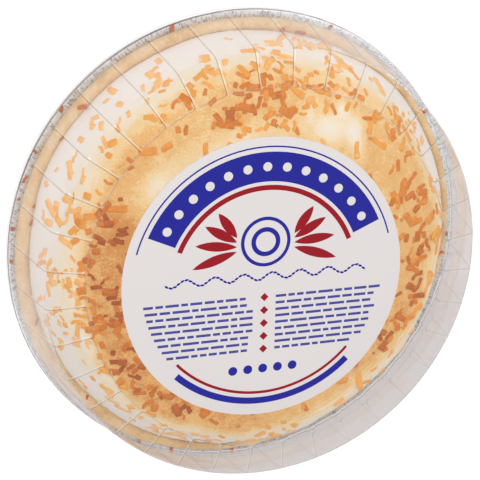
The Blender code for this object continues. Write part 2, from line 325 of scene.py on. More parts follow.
def bump(tree, shader, height, distance, strength):
    made = add(tree, "ShaderNodeBump", {"Height": height, "Distance": distance, "Strength": strength})
    tree.links.new(made.outputs["Normal"], shader.inputs["Normal"])


# %% [markdown]
# ## Pieces
# A finished piece is a plain mesh at the origin. It rides on the pie's one body, takes the finish
# it is given, and may stand in for a solid of the frame.


# %% Put a piece in place
def piece(name, mesh, material, stands_for=None, sharp=50):
    """sharp is the angle in degrees from which an edge stays crisp."""
    mesh.materials.clear()
    mesh.materials.append(material)
    mesh.shade_smooth()
    mesh.set_sharp_from_angle(angle=math.radians(sharp))
    made = bpy.data.objects.new(name, mesh)
    scene.collection.objects.link(made)
    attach(made, "root")
    if stands_for:
        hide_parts(stands_for)
    mesh.calc_loop_triangles()
    print("%-16s %6d triangles" % (name, len(mesh.loop_triangles)))
    return made


# %% [markdown]
# ## Geometry Nodes: a ring of copies
# The lid is one panel thirty-six times, and the tin's wall one pleat forty-eight times. One tree makes
# both rings: it puts a point for each copy, turns each instance by its share of the circle, makes the
# instances real and merges the seams.


# %% Geometry Nodes: a ring of copies
def geometry_tree(name, sockets):
    tree = bpy.data.node_groups.new(name, "GeometryNodeTree")
    for label, kind, value in sockets:
        made = tree.interface.new_socket(label, in_out="INPUT", socket_type=kind)
        if value is not None:
            made.default_value = value
    tree.interface.new_socket("Geometry", in_out="OUTPUT", socket_type="NodeSocketGeometry")
    return tree, add(tree, "NodeGroupInput").outputs


def end_tree(tree, geometry, material):
    clad = add(tree, "GeometryNodeSetMaterial", {"Geometry": geometry, "Material": material})
    add(tree, "NodeGroupOutput", {"Geometry": clad.outputs[0]})
    return tree


def ring_tree():
    tree, given = geometry_tree("Ring of copies", (
        ("Geometry", "NodeSocketGeometry", None), ("Count", "NodeSocketInt", 36),
        ("First Turn", "NodeSocketFloat", 0.0), ("Seam", "NodeSocketFloat", 0.01 * MM),
        ("Material", "NodeSocketMaterial", None)))
    spots = add(tree, "GeometryNodePoints", {"Count": given["Count"]})
    index = add(tree, "GeometryNodeInputIndex").outputs[0]
    share = math_node(tree, "DIVIDE", index, given["Count"])
    turn = math_node(tree, "MULTIPLY_ADD", share, math.tau, given["First Turn"])
    spin = add(tree, "ShaderNodeCombineXYZ", {"Z": turn})
    copies = add(tree, "GeometryNodeInstanceOnPoints", {
        "Points": spots.outputs[0], "Instance": given["Geometry"], "Rotation": spin.outputs[0]})
    real = add(tree, "GeometryNodeRealizeInstances", {"Geometry": copies.outputs[0]})
    whole = add(tree, "GeometryNodeMergeByDistance", {"Geometry": real.outputs[0], "Distance": given["Seam"]})
    return end_tree(tree, whole.outputs[0], given["Material"])


RING = ring_tree()


def worked(mesh, kind, set_up):
    """Run one modifier on a mesh and keep the result as a plain mesh."""
    holder = bpy.data.objects.new("holder", mesh)
    scene.collection.objects.link(holder)
    set_up(holder.modifiers.new("Work", kind))
    result = bpy.data.meshes.new_from_object(holder.evaluated_get(bpy.context.evaluated_depsgraph_get()))
    bpy.data.objects.remove(holder)
    return result


def grow(mesh, tree, **values):
    """Run a Geometry Nodes tree on a mesh. Its inputs are set by their identifiers."""
    def set_up(modifier):
        modifier.node_group = tree
        for item in tree.interface.items_tree:
            if item.in_out == "INPUT" and item.name in values:
                modifier[item.identifier] = values[item.name]
    return worked(mesh, "NODES", set_up)


def with_sheet(mesh, thickness):
    """Give an open surface the thickness of its sheet, on its inner side."""
    def set_up(sheet):
        sheet.thickness = thickness
        sheet.offset = -1.0
    return worked(mesh, "SOLIDIFY", set_up)


# %% [markdown]
# ## The foil tin
# A pie tin is pressed from foil a tenth of a millimetre thick, so its wall is folded into pleats, while
# its bottom and its flange stay flat. One pleat is a narrow sector of the turned profile, wider than
# high, and the ring tree copies it round. The pressing leaves shallow dents that no two pleats share,
# so those come afterwards, from noise over the whole tin.

# %% Sizes of the tin
TIN_BASE = 91.0 * MM
TIN_MOUTH = 114.5 * MM
TIN_EDGE = 123.4 * MM
TIN_SHEET = 0.4 * MM
TIN_EDGE_DROP = 1.3 * MM
TIN_EDGE_ROUND = 0.8 * MM
TIN_LIP = 1.2 * MM
TIN_CORNER = 2.6 * MM
TIN_PLEATS = 48
TIN_PLEAT_DEPTH = 0.55 * MM
TIN_PLEAT_STEPS = 14
TIN_PLEAT_CRISP = 0.2                     # share of a second wave that makes the folds crisper
TIN_FLAT_RADII = (80.0 * MM, 40.0 * MM)   # rows on the bottom, outside and inside its ring
TIN_BEAD = (70.0 * MM, 3.0 * MM, 0.22 * MM)      # pressed ring in the bottom: radius, width, rise
DENT_DEPTH = 0.10 * MM
DENT_PITCH = 9.0 * MM
FLANGE_CREASE = 0.06 * MM
CREASE_PITCH = 0.11 / 9.0                 # in radians
CREASE_LENGTH = 4.4 * MM
# The brown line where the edge is folded under is painted shade, the dark side of the rolled edge.
FOLD_SHADE_WIDTH = 0.4 * MM                     # brown line where the edge is folded under
FOIL_SHADE_SIDE = math.radians(300.0)     # the side of the flange that lies in the pie's shade


def tin_profile():
    """Underside of the sheet, from the turned-down edge to the middle of the bottom."""
    flange = FLANGE - TIN_SHEET
    edge = TIN_EDGE - TIN_SHEET
    lip = (TIN_MOUTH + TIN_LIP, flange)
    corner = (TIN_BASE - TIN_CORNER / 2.0, TIN_CORNER)
    slope = math.degrees(math.atan2(flange - TIN_CORNER, TIN_MOUTH - TIN_BASE))
    wall_top = (TIN_MOUTH, flange - TIN_LIP)
    wall_foot = (corner[0] + TIN_CORNER * math.sin(math.radians(slope)),
                 corner[1] - TIN_CORNER * math.cos(math.radians(slope)))
    wall = [tuple(np.array(wall_top) + (np.array(wall_foot) - wall_top) * t) for t in np.linspace(0, 1, 11)]
    bead, width, rise = TIN_BEAD
    ring = [(bead + width * t, rise * math.cos(t * math.pi / 2) ** 2) for t in np.linspace(1, -1, 9)]
    return [
        (edge, FLANGE - TIN_EDGE_DROP),
        *arc((edge - TIN_EDGE_ROUND, flange - TIN_EDGE_ROUND), TIN_EDGE_ROUND, 0.0, 90.0, 5),
        *[(edge + (lip[0] - edge) * t, flange) for t in (0.3, 0.5, 0.7, 0.9)],
        lip, (TIN_MOUTH + TIN_LIP * 0.3, flange - TIN_LIP * 0.25), *wall,
        *arc(corner, TIN_CORNER, slope - 90.0, -90.0, 5)[1:],
        (TIN_FLAT_RADII[0], 0.0), *ring, (TIN_FLAT_RADII[1], 0.0), (0.0, 0.0),
    ]


# %% Press the tin
def pleat_sector():
    """One pleat: the profile carried over a forty-eighth of the circle, folded in and out once."""
    radii, heights = np.array(tin_profile()).T
    turns = (np.arange(TIN_PLEAT_STEPS + 1) / TIN_PLEAT_STEPS - 0.5) * math.tau / TIN_PLEATS
    radius, turn = np.meshgrid(radii, turns, indexing="ij")
    height = np.repeat(heights[:, None], len(turns), 1)
    flange = FLANGE - TIN_SHEET
    on_wall = soft_step(height, 0.0, TIN_CORNER) * soft_step(flange - height, 0.0, TIN_LIP)
    on_wall = on_wall * (radius < TIN_MOUTH + TIN_LIP * 0.9)
    fold = np.cos(TIN_PLEATS * turn) * (1.0 - TIN_PLEAT_CRISP)
    fold = fold + np.cos(TIN_PLEATS * 2 * turn) * TIN_PLEAT_CRISP
    radius = radius + fold * on_wall * TIN_PLEAT_DEPTH / 2.0
    return grid_mesh("pleat", round_axis(radius, turn, height), False)


def dent(mesh):
    """Shallow dents on the wall, and fine radial creases across the flange."""
    co, radius, turn = places(mesh)
    wall = soft_step(co[:, 2], 1.0 * MM, 4.0 * MM) * (radius < TIN_MOUTH)
    push = rough(*co.T, DENT_PITCH) * DENT_DEPTH * wall
    flat = soft_step(radius, TIN_MOUTH + TIN_LIP, TIN_MOUTH + 3.0 * MM)
    flat = flat * soft_step(TIN_EDGE - radius, 0.4 * MM, 1.6 * MM)
    crease = rough(np.cos(turn), np.sin(turn), radius * CREASE_PITCH / CREASE_LENGTH, CREASE_PITCH)
    co[:, 0] += push * np.cos(turn)
    co[:, 1] += push * np.sin(turn)
    co[:, 2] += crease * flat * FLANGE_CREASE
    mesh.vertices.foreach_set("co", co.ravel())
    mesh.update()


# %% [markdown]
# Foil is bare aluminium: fully metallic, a little rough from rolling, and crossed by creases that run
# outwards. The crease pattern is noise over the turn and the radius, worked out from the place, so that
# it follows the round flange. At the very edge the metal is folded under, and there a dark brown line is
# painted shade, for the dark underside of the fold. On one side the pie and the lid stand in the light's
# way, and the foil there is painted greyer, as painted shade.


# %% Foil finish
# Scales of the creases along the turn (per radian) and along radius and height (per metre)
CREASE_SCALES = (150.0, 520.0, 520.0)


def polar(tree):
    """Turn, radius and height of the place."""
    parts = add(tree, "ShaderNodeSeparateXYZ", {0: here(tree)}).outputs
    flat = add(tree, "ShaderNodeCombineXYZ", {0: parts[0], 1: parts[1]}).outputs[0]
    radius = add(tree, "ShaderNodeVectorMath", {0: flat}, operation="LENGTH").outputs["Value"]
    return math_node(tree, "ARCTAN2", parts[1], parts[0]), radius, parts[2]


def foil_material():
    made, tree, shader = new_material("foil", {"Metallic": 1.0})
    turn, radius, height = polar(tree)
    scaled = [math_node(tree, "MULTIPLY", *pair) for pair in zip((turn, radius, height), CREASE_SCALES)]
    along = add(tree, "ShaderNodeCombineXYZ", dict(enumerate(scaled))).outputs[0]
    crease = add(tree, "ShaderNodeTexNoise", {"Vector": along, "Scale": 1.0, "Detail": 3.0}).outputs[0]
    value, fine = blotches(tree, 9.0 * MM, 1.3 * MM, 0.5)
    tone = math_node(tree, "MULTIPLY_ADD", crease, 0.7, math_node(tree, "MULTIPLY", value, 0.3))
    bright = ramp(tree, tone, ((0.38, linear(172, 174, 176)), (0.5, linear(238, 243, 248)),
                               (0.6, linear(248, 252, 255))))
    away = math_node(tree, "COSINE", math_node(tree, "SUBTRACT", turn, FOIL_SHADE_SIDE))
    shaded = add(tree, "ShaderNodeMapRange", {0: away, 1: 0.2, 2: 0.9}, clamp=True).outputs[0]
    bright = blend_colour(tree, shaded, bright, (0.68, 0.62, 0.55, 1.0), "MULTIPLY")
    # Painted shade: a dark brown band where the edge is folded under
    fold_shade = math_node(tree, "MULTIPLY", math_node(tree, "GREATER_THAN", radius, TIN_EDGE - FOLD_SHADE_WIDTH),
                       math_node(tree, "GREATER_THAN", height, FLANGE - 2.0 * MM))
    colour = blend_colour(tree, fold_shade, bright, linear(112, 86, 68))
    tree.links.new(colour, shader.inputs["Base Color"])
    tree.links.new(ramp(tree, value, ((0.35, (0.36,) * 3 + (1,)), (0.65, (0.52,) * 3 + (1,)))),
                   shader.inputs["Roughness"])
    both = math_node(tree, "ADD", crease, math_node(tree, "MULTIPLY", fine, 0.5))
    bump(tree, shader, both, 0.2 * MM, 0.5)
    return made


foil = foil_material()
tin_mesh = clean(grow(pleat_sector(), RING, Count=TIN_PLEATS), outwards=False)
dent(tin_mesh)
tin = piece("tin", with_sheet(tin_mesh, TIN_SHEET), foil, "foil_tin")

# %% [markdown]
# ## The pastry
# The rim of the crust is a soft roll of dough, pressed down unevenly and baked to a pale tan. Its form
# is a turned profile whose height and inner edge wander round the pie by a few slow waves. Noise adds
# the small lumps. The crust carries the filling, and both are one uncut solid below the meringue.

# %% Sizes of the pastry
CRUST_OUTER = 120.0 * MM
CRUST_INNER = 113.9 * MM
CRUST_RISE = 8.0 * MM
CRUST_RIM_FOOT = 0.5
CRUST_WALL_INSET = 1.6 * MM
FIT_GAP = 0.3 * MM
FILLING_LEVEL = 5.6 * MM
EDGE_WAVES = ((3, 0.6, 0.45 * MM), (7, 2.1, 0.30 * MM), (13, 4.0, 0.16 * MM))
EDGE_SPREAD = (30.0, 6, 0.7 * MM)         # the meringue spreads here: direction, sharpness, reach
RIM_LUMPS = ((5, 1.0, 0.28 * MM), (11, 0.3, 0.20 * MM))
RIM_DIP = (312.0, 5, 2.8 * MM, 2.4 * MM)  # the rim is pressed here: direction, sharpness, inwards, down
RIM_REACH = (225.0, 6, 1.5 * MM)          # and spreads here: direction, sharpness, outwards
PASTRY_LUMP = 0.45 * MM
PASTRY_LUMP_PITCH = 7.0 * MM
PIE_COLUMNS = 480


def crust_profile():
    middle = (CRUST_OUTER + CRUST_INNER) / 2.0
    half = (CRUST_OUTER - CRUST_INNER) / 2.0
    rim = []
    for angle in np.radians(np.linspace(150.0, -62.0, 26)):
        rise = CRUST_RIM_FOOT + (1.0 - CRUST_RIM_FOOT) * math.sin(angle)
        rim.append((middle + half * math.cos(angle), FLANGE + CRUST_RISE * rise))
    bottom = TIN_SHEET + FIT_GAP
    return [
        (0.0, FLANGE + FILLING_LEVEL), (CRUST_INNER, FLANGE + FILLING_LEVEL), *rim,
        (middle, FLANGE + FIT_GAP), (TIN_MOUTH - FIT_GAP, FLANGE + FIT_GAP),
        (TIN_MOUTH - CRUST_WALL_INSET, FLANGE - 2.0 * TIN_LIP),
        (TIN_BASE + TIN_CORNER / 2.0 - CRUST_WALL_INSET, bottom + TIN_CORNER),
        (TIN_BASE - TIN_CORNER, bottom), (0.0, bottom),
    ]


def edge_shift(turn):
    """How far the line where meringue and pastry meet lies outside its circle."""
    direction, sharpness, reach = EDGE_SPREAD
    return waves(EDGE_WAVES, turn) + reach * facing(turn, direction, sharpness)


def pastry_rule(radius, turn, height):
    """Lumps along the top of the rim, a dip and a spread, and an inner edge that wanders."""
    lump = rough(radius * np.cos(turn), radius * np.sin(turn), height, PASTRY_LUMP_PITCH)
    above_flange = (height > FLANGE + 1.5 * FIT_GAP) & (radius > CRUST_INNER - MM)
    on_rim = above_flange & (radius > CRUST_INNER + FIT_GAP / 2.0)
    direction, sharpness, inwards, down = RIM_DIP
    dip = facing(turn, direction, sharpness)
    outwards = (radius - CRUST_INNER) / (CRUST_OUTER - CRUST_INNER)
    lift = waves(RIM_LUMPS, turn) + lump * PASTRY_LUMP - down * dip
    lift = lift * soft_step(height, FLANGE, FLANGE + CRUST_RISE)
    direction, sharpness, reach = RIM_REACH
    spread = reach * facing(turn, direction, sharpness) - inwards * dip
    shift = edge_shift(turn) * (1.0 - outwards) + spread * outwards
    return radius + shift * above_flange, turn, height + lift * on_rim


# %% [markdown]
# Baked pastry is matte. Its colour runs from cream to tan in soft blotches, with a few browner spots
# where the dough was thin, and fine pores that only a bump needs to show.


# %% Pastry finish
def pastry_material():
    made, tree, shader = new_material("pastry", {"Roughness": 0.7, "Specular IOR Level": 0.3})
    value, fine = blotches(tree, 12.0 * MM, 1.6 * MM, 0.35)
    tan = ramp(tree, value, ((0.36, linear(214, 172, 122)), (0.5, linear(226, 191, 143)),
                             (0.64, linear(232, 206, 168))))
    spots = add(tree, "ShaderNodeTexNoise", {"Scale": 160.0, "Detail": 2.0, "Vector": here(tree)})
    spotted = ramp(tree, spots.outputs[0], ((0.6, (0, 0, 0, 1)), (0.74, (1, 1, 1, 1))))
    share = math_node(tree, "MULTIPLY", spotted, 0.4)
    tree.links.new(blend_colour(tree, share, tan, linear(200, 148, 96)), shader.inputs["Base Color"])
    bump(tree, shader, math_node(tree, "ADD", math_node(tree, "MULTIPLY", value, 1.5), fine), 0.5 * MM, 0.6)
    return made


pastry = pastry_material()
crust_mesh = turned("crust", crust_profile(), PIE_COLUMNS, pastry_rule)
crust = piece("crust", crust_mesh, pastry, "pie_crust", sharp=60)

# %% [markdown]
# ## The meringue
# The mound is whipped sugar, piled up and smoothed with a spoon: flat on top, round at its shoulder and
# steep at its side. Its profile is a smooth curve through six points. Broad spoon strokes turn across
# the top, slow waves go round the side, and a few narrow ridges lie side by side near the shoulder,
# where the spoon was dragged round. All of that is in the mesh.

# %% Sizes of the meringue
MERINGUE_CURVE = ((0.0, 44.8), (50.0, 44.5), (84.0, 42.2), (98.5, 35.0), (107.0, 20.0), (113.5, 6.0))
SWIRL = 0.9 * MM
SIDE_WAVE = 0.7 * MM
TOP_FROM = 24.0 * MM
TOP_FULL = 40.0 * MM
SIDE_WAVES = ((8, 0.4, SIDE_WAVE), (5, 2.4, 0.6 * SIDE_WAVE))
STROKES = ((3, 9.0, 0.0, SWIRL), (7, -12.0, 1.3, 0.6 * SWIRL))
LUMPS = ((0.0, 24.0 * MM, 0.50 * MM), (1.0, 7.0 * MM, 0.16 * MM))     # shift of the noise, pitch, height
RIDGE_PITCH = 3.1 * MM
RIDGE_HEIGHT = 0.22 * MM
RIDGE_DRIFT = (30.0 * MM, 2.5 * MM)       # pitch and reach of their wandering
RIDGE_BAND = (70.0 * MM, 78.0 * MM, 94.0 * MM, 100.0 * MM)     # radii at which they set in and fade out
RIDGE_PLACES = ((315.0, 6, 1.0), (60.0, 9, 0.6), (200.0, 5, 0.35))     # direction, sharpness, strength
FOOT_REACH = 0.6 * MM                     # the foot clings to the pastry


def meringue_profile():
    curve = [(radius * MM, FLANGE + height * MM) for radius, height in smooth_curve(MERINGUE_CURVE, 24)]
    return curve + [(0.0, curve[-1][1])]


def swell(radius, turn, height):
    foot_radius, foot_rise = (size * MM for size in MERINGUE_CURVE[-1])
    share = radius / foot_radius
    above = height - FLANGE
    top = soft_step(above, TOP_FROM, TOP_FULL)
    off_middle = soft_step(share * 4.0)
    off_foot = soft_step(above, foot_rise, TOP_FROM)
    lift = sum(strength * np.sin(lobes * turn + twist * share + phase)
               for lobes, twist, phase, strength in STROKES)
    x, y = radius * np.cos(turn), radius * np.sin(turn)
    lumps = sum(rough(x + shift, y, height, pitch) * rise for shift, pitch, rise in LUMPS)
    band = soft_step(radius, *RIDGE_BAND[:2]) * (1.0 - soft_step(radius, *RIDGE_BAND[2:]))
    drift = rough(x, y, height, RIDGE_DRIFT[0]) * RIDGE_DRIFT[1]
    where = sum(strength * facing(turn, direction, sharp) for direction, sharp, strength in RIDGE_PLACES)
    ridges = np.sin((radius + drift) * math.tau / RIDGE_PITCH) * RIDGE_HEIGHT * band * where
    height = height + (lift * top + lumps * off_foot + ridges * top) * off_middle
    radius = radius + (waves(SIDE_WAVES, turn) + lumps) * off_foot * off_middle * (1.0 - 0.5 * top)
    radius = radius + (edge_shift(turn) + FOOT_REACH) * (1.0 - off_foot) * (share > 0.9)
    return radius, turn, height


# %% [markdown]
# ## Where the meringue is toasted, and where the coconut lies
# Both are painted on the mesh's points as numbers, so that the finish and the scatter can read them.
# The heat reaches the top first, so gold fades to white over the shoulder. How far a point has climbed
# from the foot, inwards and upwards together, is a good measure of that. Some patches stay cream, and
# some cream along the label's edge is painted light that lifts the shade there. The coconut was thrown
# by hand, so it lies thick in some places: each is a soft spot with a direction, a climb, two widths and
# a strength. Within them it lies in small clumps, from noise.

# %% Toast and coconut as numbers on the mesh
CLIMB_FROM = 109.2 * MM                   # radius and height above the flange at which a climb starts
# climb from, climb to, strength
TOAST_STEPS = ((8.0, 28.0, 0.08), (27.0, 37.0, 0.12), (35.0, 50.0, 0.26), (48.0, 60.0, 0.12))
# direction, sharpness, and climb in mm or strength
TOAST_SHIFTS = ((290.0, 1.8, -14.0), (32.0, 8, 7.0), (85.0, 10, 3.0))
TOAST_TOPS = ((200.0, 2.5, 0.31), (10.0, 4, 0.06), (305.0, 3, 0.12))
TOP_BROWNS = (47.0, 57.0)                 # the climb over which the browner tops set in
TOP_DELAY = (300.0, 3, 9.0)               # they set in later here: direction, sharpness, climb in mm
# Cream spots; those along the label's edge, from direction 82 to 140, are partly painted light
# direction in degrees, climb in mm, half widths in degrees and mm, strength: below zero is browner
CREAM_AND_LIGHT_SPOTS = ((66.0, 76.0, 7.0, 9.0, 0.50), (57.0, 69.0, 3.5, 7.0, 0.40), (75.0, 68.0, 3.0, 9.0, 0.22),
               (140.0, 78.0, 11.0, 8.0, 0.50), (119.0, 84.0, 14.0, 7.0, 0.34), (100.0, 82.0, 10.0, 6.0, 0.28),
               (82.0, 80.0, 8.0, 6.0, 0.20), (184.0, 48.0, 5.0, 5.0, 0.22), (199.0, 46.0, 5.0, 5.0, 0.22),
               (63.5, 62.0, 3.0, 6.0, 0.38), (53.5, 74.5, 3.0, 4.5, 0.36), (50.5, 79.0, 2.5, 4.5, 0.32),
               (166.0, 76.0, 11.0, 8.0, -0.22))
COCONUT_THIN = 0.16
CLUMP_PITCH = 9.0 * MM
CLUMP_STEP = (-0.25, 0.30)                # the noise over which cover goes from thin to thick
COCONUT_SPOTS = (
    (20.0, 64.0, 32.0, 18.0, 0.44), (8.0, 22.0, 10.0, 22.0, 0.10), (36.0, 20.0, 5.0, 20.0, 0.50),
    (68.0, 26.0, 5.0, 12.0, 0.80), (86.0, 30.0, 6.0, 26.0, 0.90), (88.0, 62.0, 18.0, 17.0, 1.20),
    (106.0, 34.0, 10.0, 12.0, 0.45), (120.0, 26.0, 5.0, 9.0, 0.60), (163.0, 34.0, 12.0, 14.0, 0.30),
    (168.0, 58.0, 14.0, 9.0, 0.90), (186.0, 30.0, 7.0, 16.0, 0.25), (198.0, 62.0, 20.0, 12.0, 1.20),
    (222.0, 30.0, 12.0, 20.0, 0.15), (228.0, 66.0, 18.0, 11.0, 0.60), (253.0, 26.0, 10.0, 20.0, 0.25),
    (277.0, 34.0, 7.0, 18.0, 1.00), (300.0, 36.0, 8.0, 9.0, 0.30), (335.0, 64.0, 18.0, 9.0, 0.60),
    (353.0, 54.0, 10.0, 9.0, 0.25), (134.0, 52.0, 16.0, 14.0, 0.22), (52.0, 42.0, 14.0, 22.0, 0.22),
)
COCONUT_BARE = ((140.0, 78.0, 16.0, 12.0, 0.30), (64.0, 74.0, 9.0, 10.0, 0.45),
                (254.0, 60.0, 12.0, 8.0, 0.10))
CLEAR_FOOT = (8.0 * MM, 11.0 * MM)        # heights over which coconut sets in above the clear foot
UNDER_LABEL = (48.0 * MM, 62.0 * MM)      # radii over which it sets in, because the label hides the middle


def soft_spots(turn, climb, spots):
    """Sum of soft spots, each with a direction, a climb, two half widths and a strength."""
    total = 0.0
    for direction, place, wide, deep, strength in spots:
        off = np.degrees(np.angle(np.exp(1j * (turn - math.radians(direction)))))
        total = total + strength * np.exp(-(off / wide) ** 2 - ((climb / MM - place) / deep) ** 2)
    return total


def paint_meringue(mesh):
    co, radius, turn = places(mesh)
    above = co[:, 2] - FLANGE
    climb = CLIMB_FROM - radius + above
    blotch = rough(*co.T, 20.0 * MM, 3)
    shift = sum(strength * facing(turn, *bed) for *bed, strength in TOAST_SHIFTS)
    edge = climb / MM + shift + blotch * 4.0
    toast = sum(strength * soft_step(edge, low, high) for low, high, strength in TOAST_STEPS)
    *bed, delay = TOP_DELAY
    browning = soft_step(climb / MM + blotch * 3.0 - delay * facing(turn, *bed), *TOP_BROWNS)
    toast += sum(strength * facing(turn, *bed) for *bed, strength in TOAST_TOPS) * browning
    toast -= soft_spots(turn, climb, CREAM_AND_LIGHT_SPOTS)
    toast = np.clip(toast + blotch * 0.08 * soft_step(edge, 28.0, 50.0), 0.0, 1.0)
    cover = COCONUT_THIN + soft_spots(turn, climb, COCONUT_SPOTS) - soft_spots(turn, climb, COCONUT_BARE)
    clump = soft_step(rough(co[:, 0] + 1.0, co[:, 1], co[:, 2], CLUMP_PITCH), *CLUMP_STEP)
    cover = cover * (0.5 + clump) * soft_step(above, *CLEAR_FOOT) * soft_step(radius, *UNDER_LABEL)
    coconut = np.clip(cover, 0.0, 1.0)
    paint(mesh, "toast", toast)
    paint(mesh, "coconut", coconut)
    print("toast %.2f to %.2f, mean coconut %.2f" % (toast.min(), toast.max(), coconut.mean()))


# %% [markdown]
# Meringue is matte and a little translucent, so some of the light goes in and softens the shade. The
# toast number chooses the colour: white, cream, gold, then brown. Fine blotches break it up the way
# sugar browns, in specks, and the same specks make a faint bump.


# %% Meringue finish
def meringue_material():
    made, tree, shader = new_material("meringue", {
        "Roughness": 0.62, "Specular IOR Level": 0.35,
        "Subsurface Weight": 0.12, "Subsurface Scale": 2.0 * MM})
    value, fine = blotches(tree, 5.0 * MM, 1.1 * MM, 0.6)
    toast = painted(tree, "toast")
    off_mean = math_node(tree, "SUBTRACT", value, 0.5)
    speck = math_node(tree, "MULTIPLY", off_mean, math_node(tree, "ADD", toast, 0.08))
    level = math_node(tree, "MULTIPLY_ADD", speck, 1.4, toast, clamp=True)
    colour = ramp(tree, level, (
        (0.0, linear(239, 233, 226)), (0.2, linear(241, 225, 197)), (0.45, linear(239, 205, 148)),
        (0.7, linear(230, 179, 110)), (1.0, linear(208, 140, 66))))
    tree.links.new(colour, shader.inputs["Base Color"])
    bump(tree, shader, fine, 0.25 * MM, 0.5)
    return made


meringue = meringue_material()
mound_mesh = turned("mound", meringue_profile(), PIE_COLUMNS, swell)
paint_meringue(mound_mesh)
piece("mound", mound_mesh, meringue, "meringue", sharp=60)

# %% [markdown]
# ## One shred of coconut
# Toasted coconut is cut in short flat ribbons, two to four millimetres wide. Some are straight, some
# bend in their plane, some curl up at an end, and small crumbs lie between them. Each form is a spine
# with a flat six-sided section, and has only a few dozen faces, because hundreds of them are laid. Its
# spine and its width wander a little from row to row, as in a torn edge.

# %% Forms of coconut ribbons
SHRED_SECTION = ((-1.0, 0.0), (-0.8, 1.0), (0.8, 1.0), (1.0, 0.0), (0.8, -1.0), (-0.8, -1.0))
# place along the ribbon, share of its width and share of its thickness: blunt ends
SHRED_ROWS = ((0.0, 0.72, 0.4), (0.07, 0.95, 0.9), (0.28, 1.0, 1.0), (0.5, 0.97, 1.0),
              (0.72, 1.0, 1.0), (0.93, 0.94, 0.9), (1.0, 0.70, 0.4))
SHRED_THICKNESS = 0.6 * MM
SHRED_WANDER = 8.0                        # degrees by which the spine may turn off at a row
SHRED_TORN = (0.88, 1.10)                 # least and most width of a row
# length, width, bend in the plane in degrees, curl upwards in degrees, share that one end narrows by
SHRED_FORMS = (
    (6.4, 3.4, 6, 4, 0.10), (4.8, 3.2, -12, 0, 0.20), (8.0, 3.3, 14, 6, 0.20), (4.6, 2.3, -50, 5, 0.30),
    (4.0, 3.4, 6, -4, 0.10), (5.8, 2.0, 70, 8, 0.30), (3.2, 2.8, 10, 0, 0.15), (5.2, 2.5, -24, 8, 0.30),
    (3.0, 2.5, 0, 0, 0.10), (7.4, 2.8, -20, 8, 0.25), (4.4, 3.8, 0, 3, 0.12), (4.8, 1.7, 90, 5, 0.30),
    (5.6, 3.5, -6, 4, 0.25), (3.8, 2.4, -30, 0, 0.20), (2.4, 2.0, 0, 0, 0.15), (3.4, 3.1, 0, 2, 0.30),
)


def ribbon_mesh(name, length, width, bend, curl, narrow, seed):
    """Sweep the flat section along a spine that bends, curls and wanders, and close its ends."""
    torn = random.Random(seed)
    spine, rows, before = Vector((0.0, 0.0, 0.0)), [], 0.0
    for t, wide, thick in SHRED_ROWS:
        heading = math.radians(bend * (t - 0.5) + torn.uniform(-SHRED_WANDER, SHRED_WANDER))
        climb = math.radians(curl) * (t - 0.5)
        ahead = Vector((math.cos(heading), math.sin(heading), math.sin(climb)))
        across = Vector((-ahead.y, ahead.x, 0.0)).normalized()
        up = ahead.cross(across).normalized()
        spine = spine + ahead * length * (t - before)
        before = t
        half = width / 2.0 * wide * (1.0 - narrow * t) * torn.uniform(*SHRED_TORN)
        flat = SHRED_THICKNESS / 2.0 * thick
        rows.append([spine + across * half * u + up * flat * v for u, v in SHRED_SECTION])
    points = np.array(rows)
    mesh = grid_mesh(name, points - points.reshape(-1, 3).mean(0))
    with reshaping(mesh) as form:
        bmesh.ops.holes_fill(form, edges=[edge for edge in form.edges if edge.is_boundary])
        bmesh.ops.recalc_face_normals(form, faces=form.faces)
    mesh.shade_smooth()
    return mesh


shred_forms = bpy.data.collections.new("coconut_forms")
for number, (length, width, bend, curl, narrow) in enumerate(SHRED_FORMS):
    form_mesh = ribbon_mesh("ribbon", length * MM, width * MM, bend, curl, narrow, number)
    shred_forms.objects.link(bpy.data.objects.new("ribbon_%02d" % number, form_mesh))

# %% [markdown]
# ## Geometry Nodes: strewing the coconut
# The tree spreads points over the mound, no two closer than a spacing, and as thick as the painted
# number says. On each point it lays one of the forms, flat on the surface, spun and tilted at random.
# Each ribbon keeps two numbers: how toasted it is, which is higher where the meringue is gold, and a
# random one, so that the finish can tell neighbours apart.


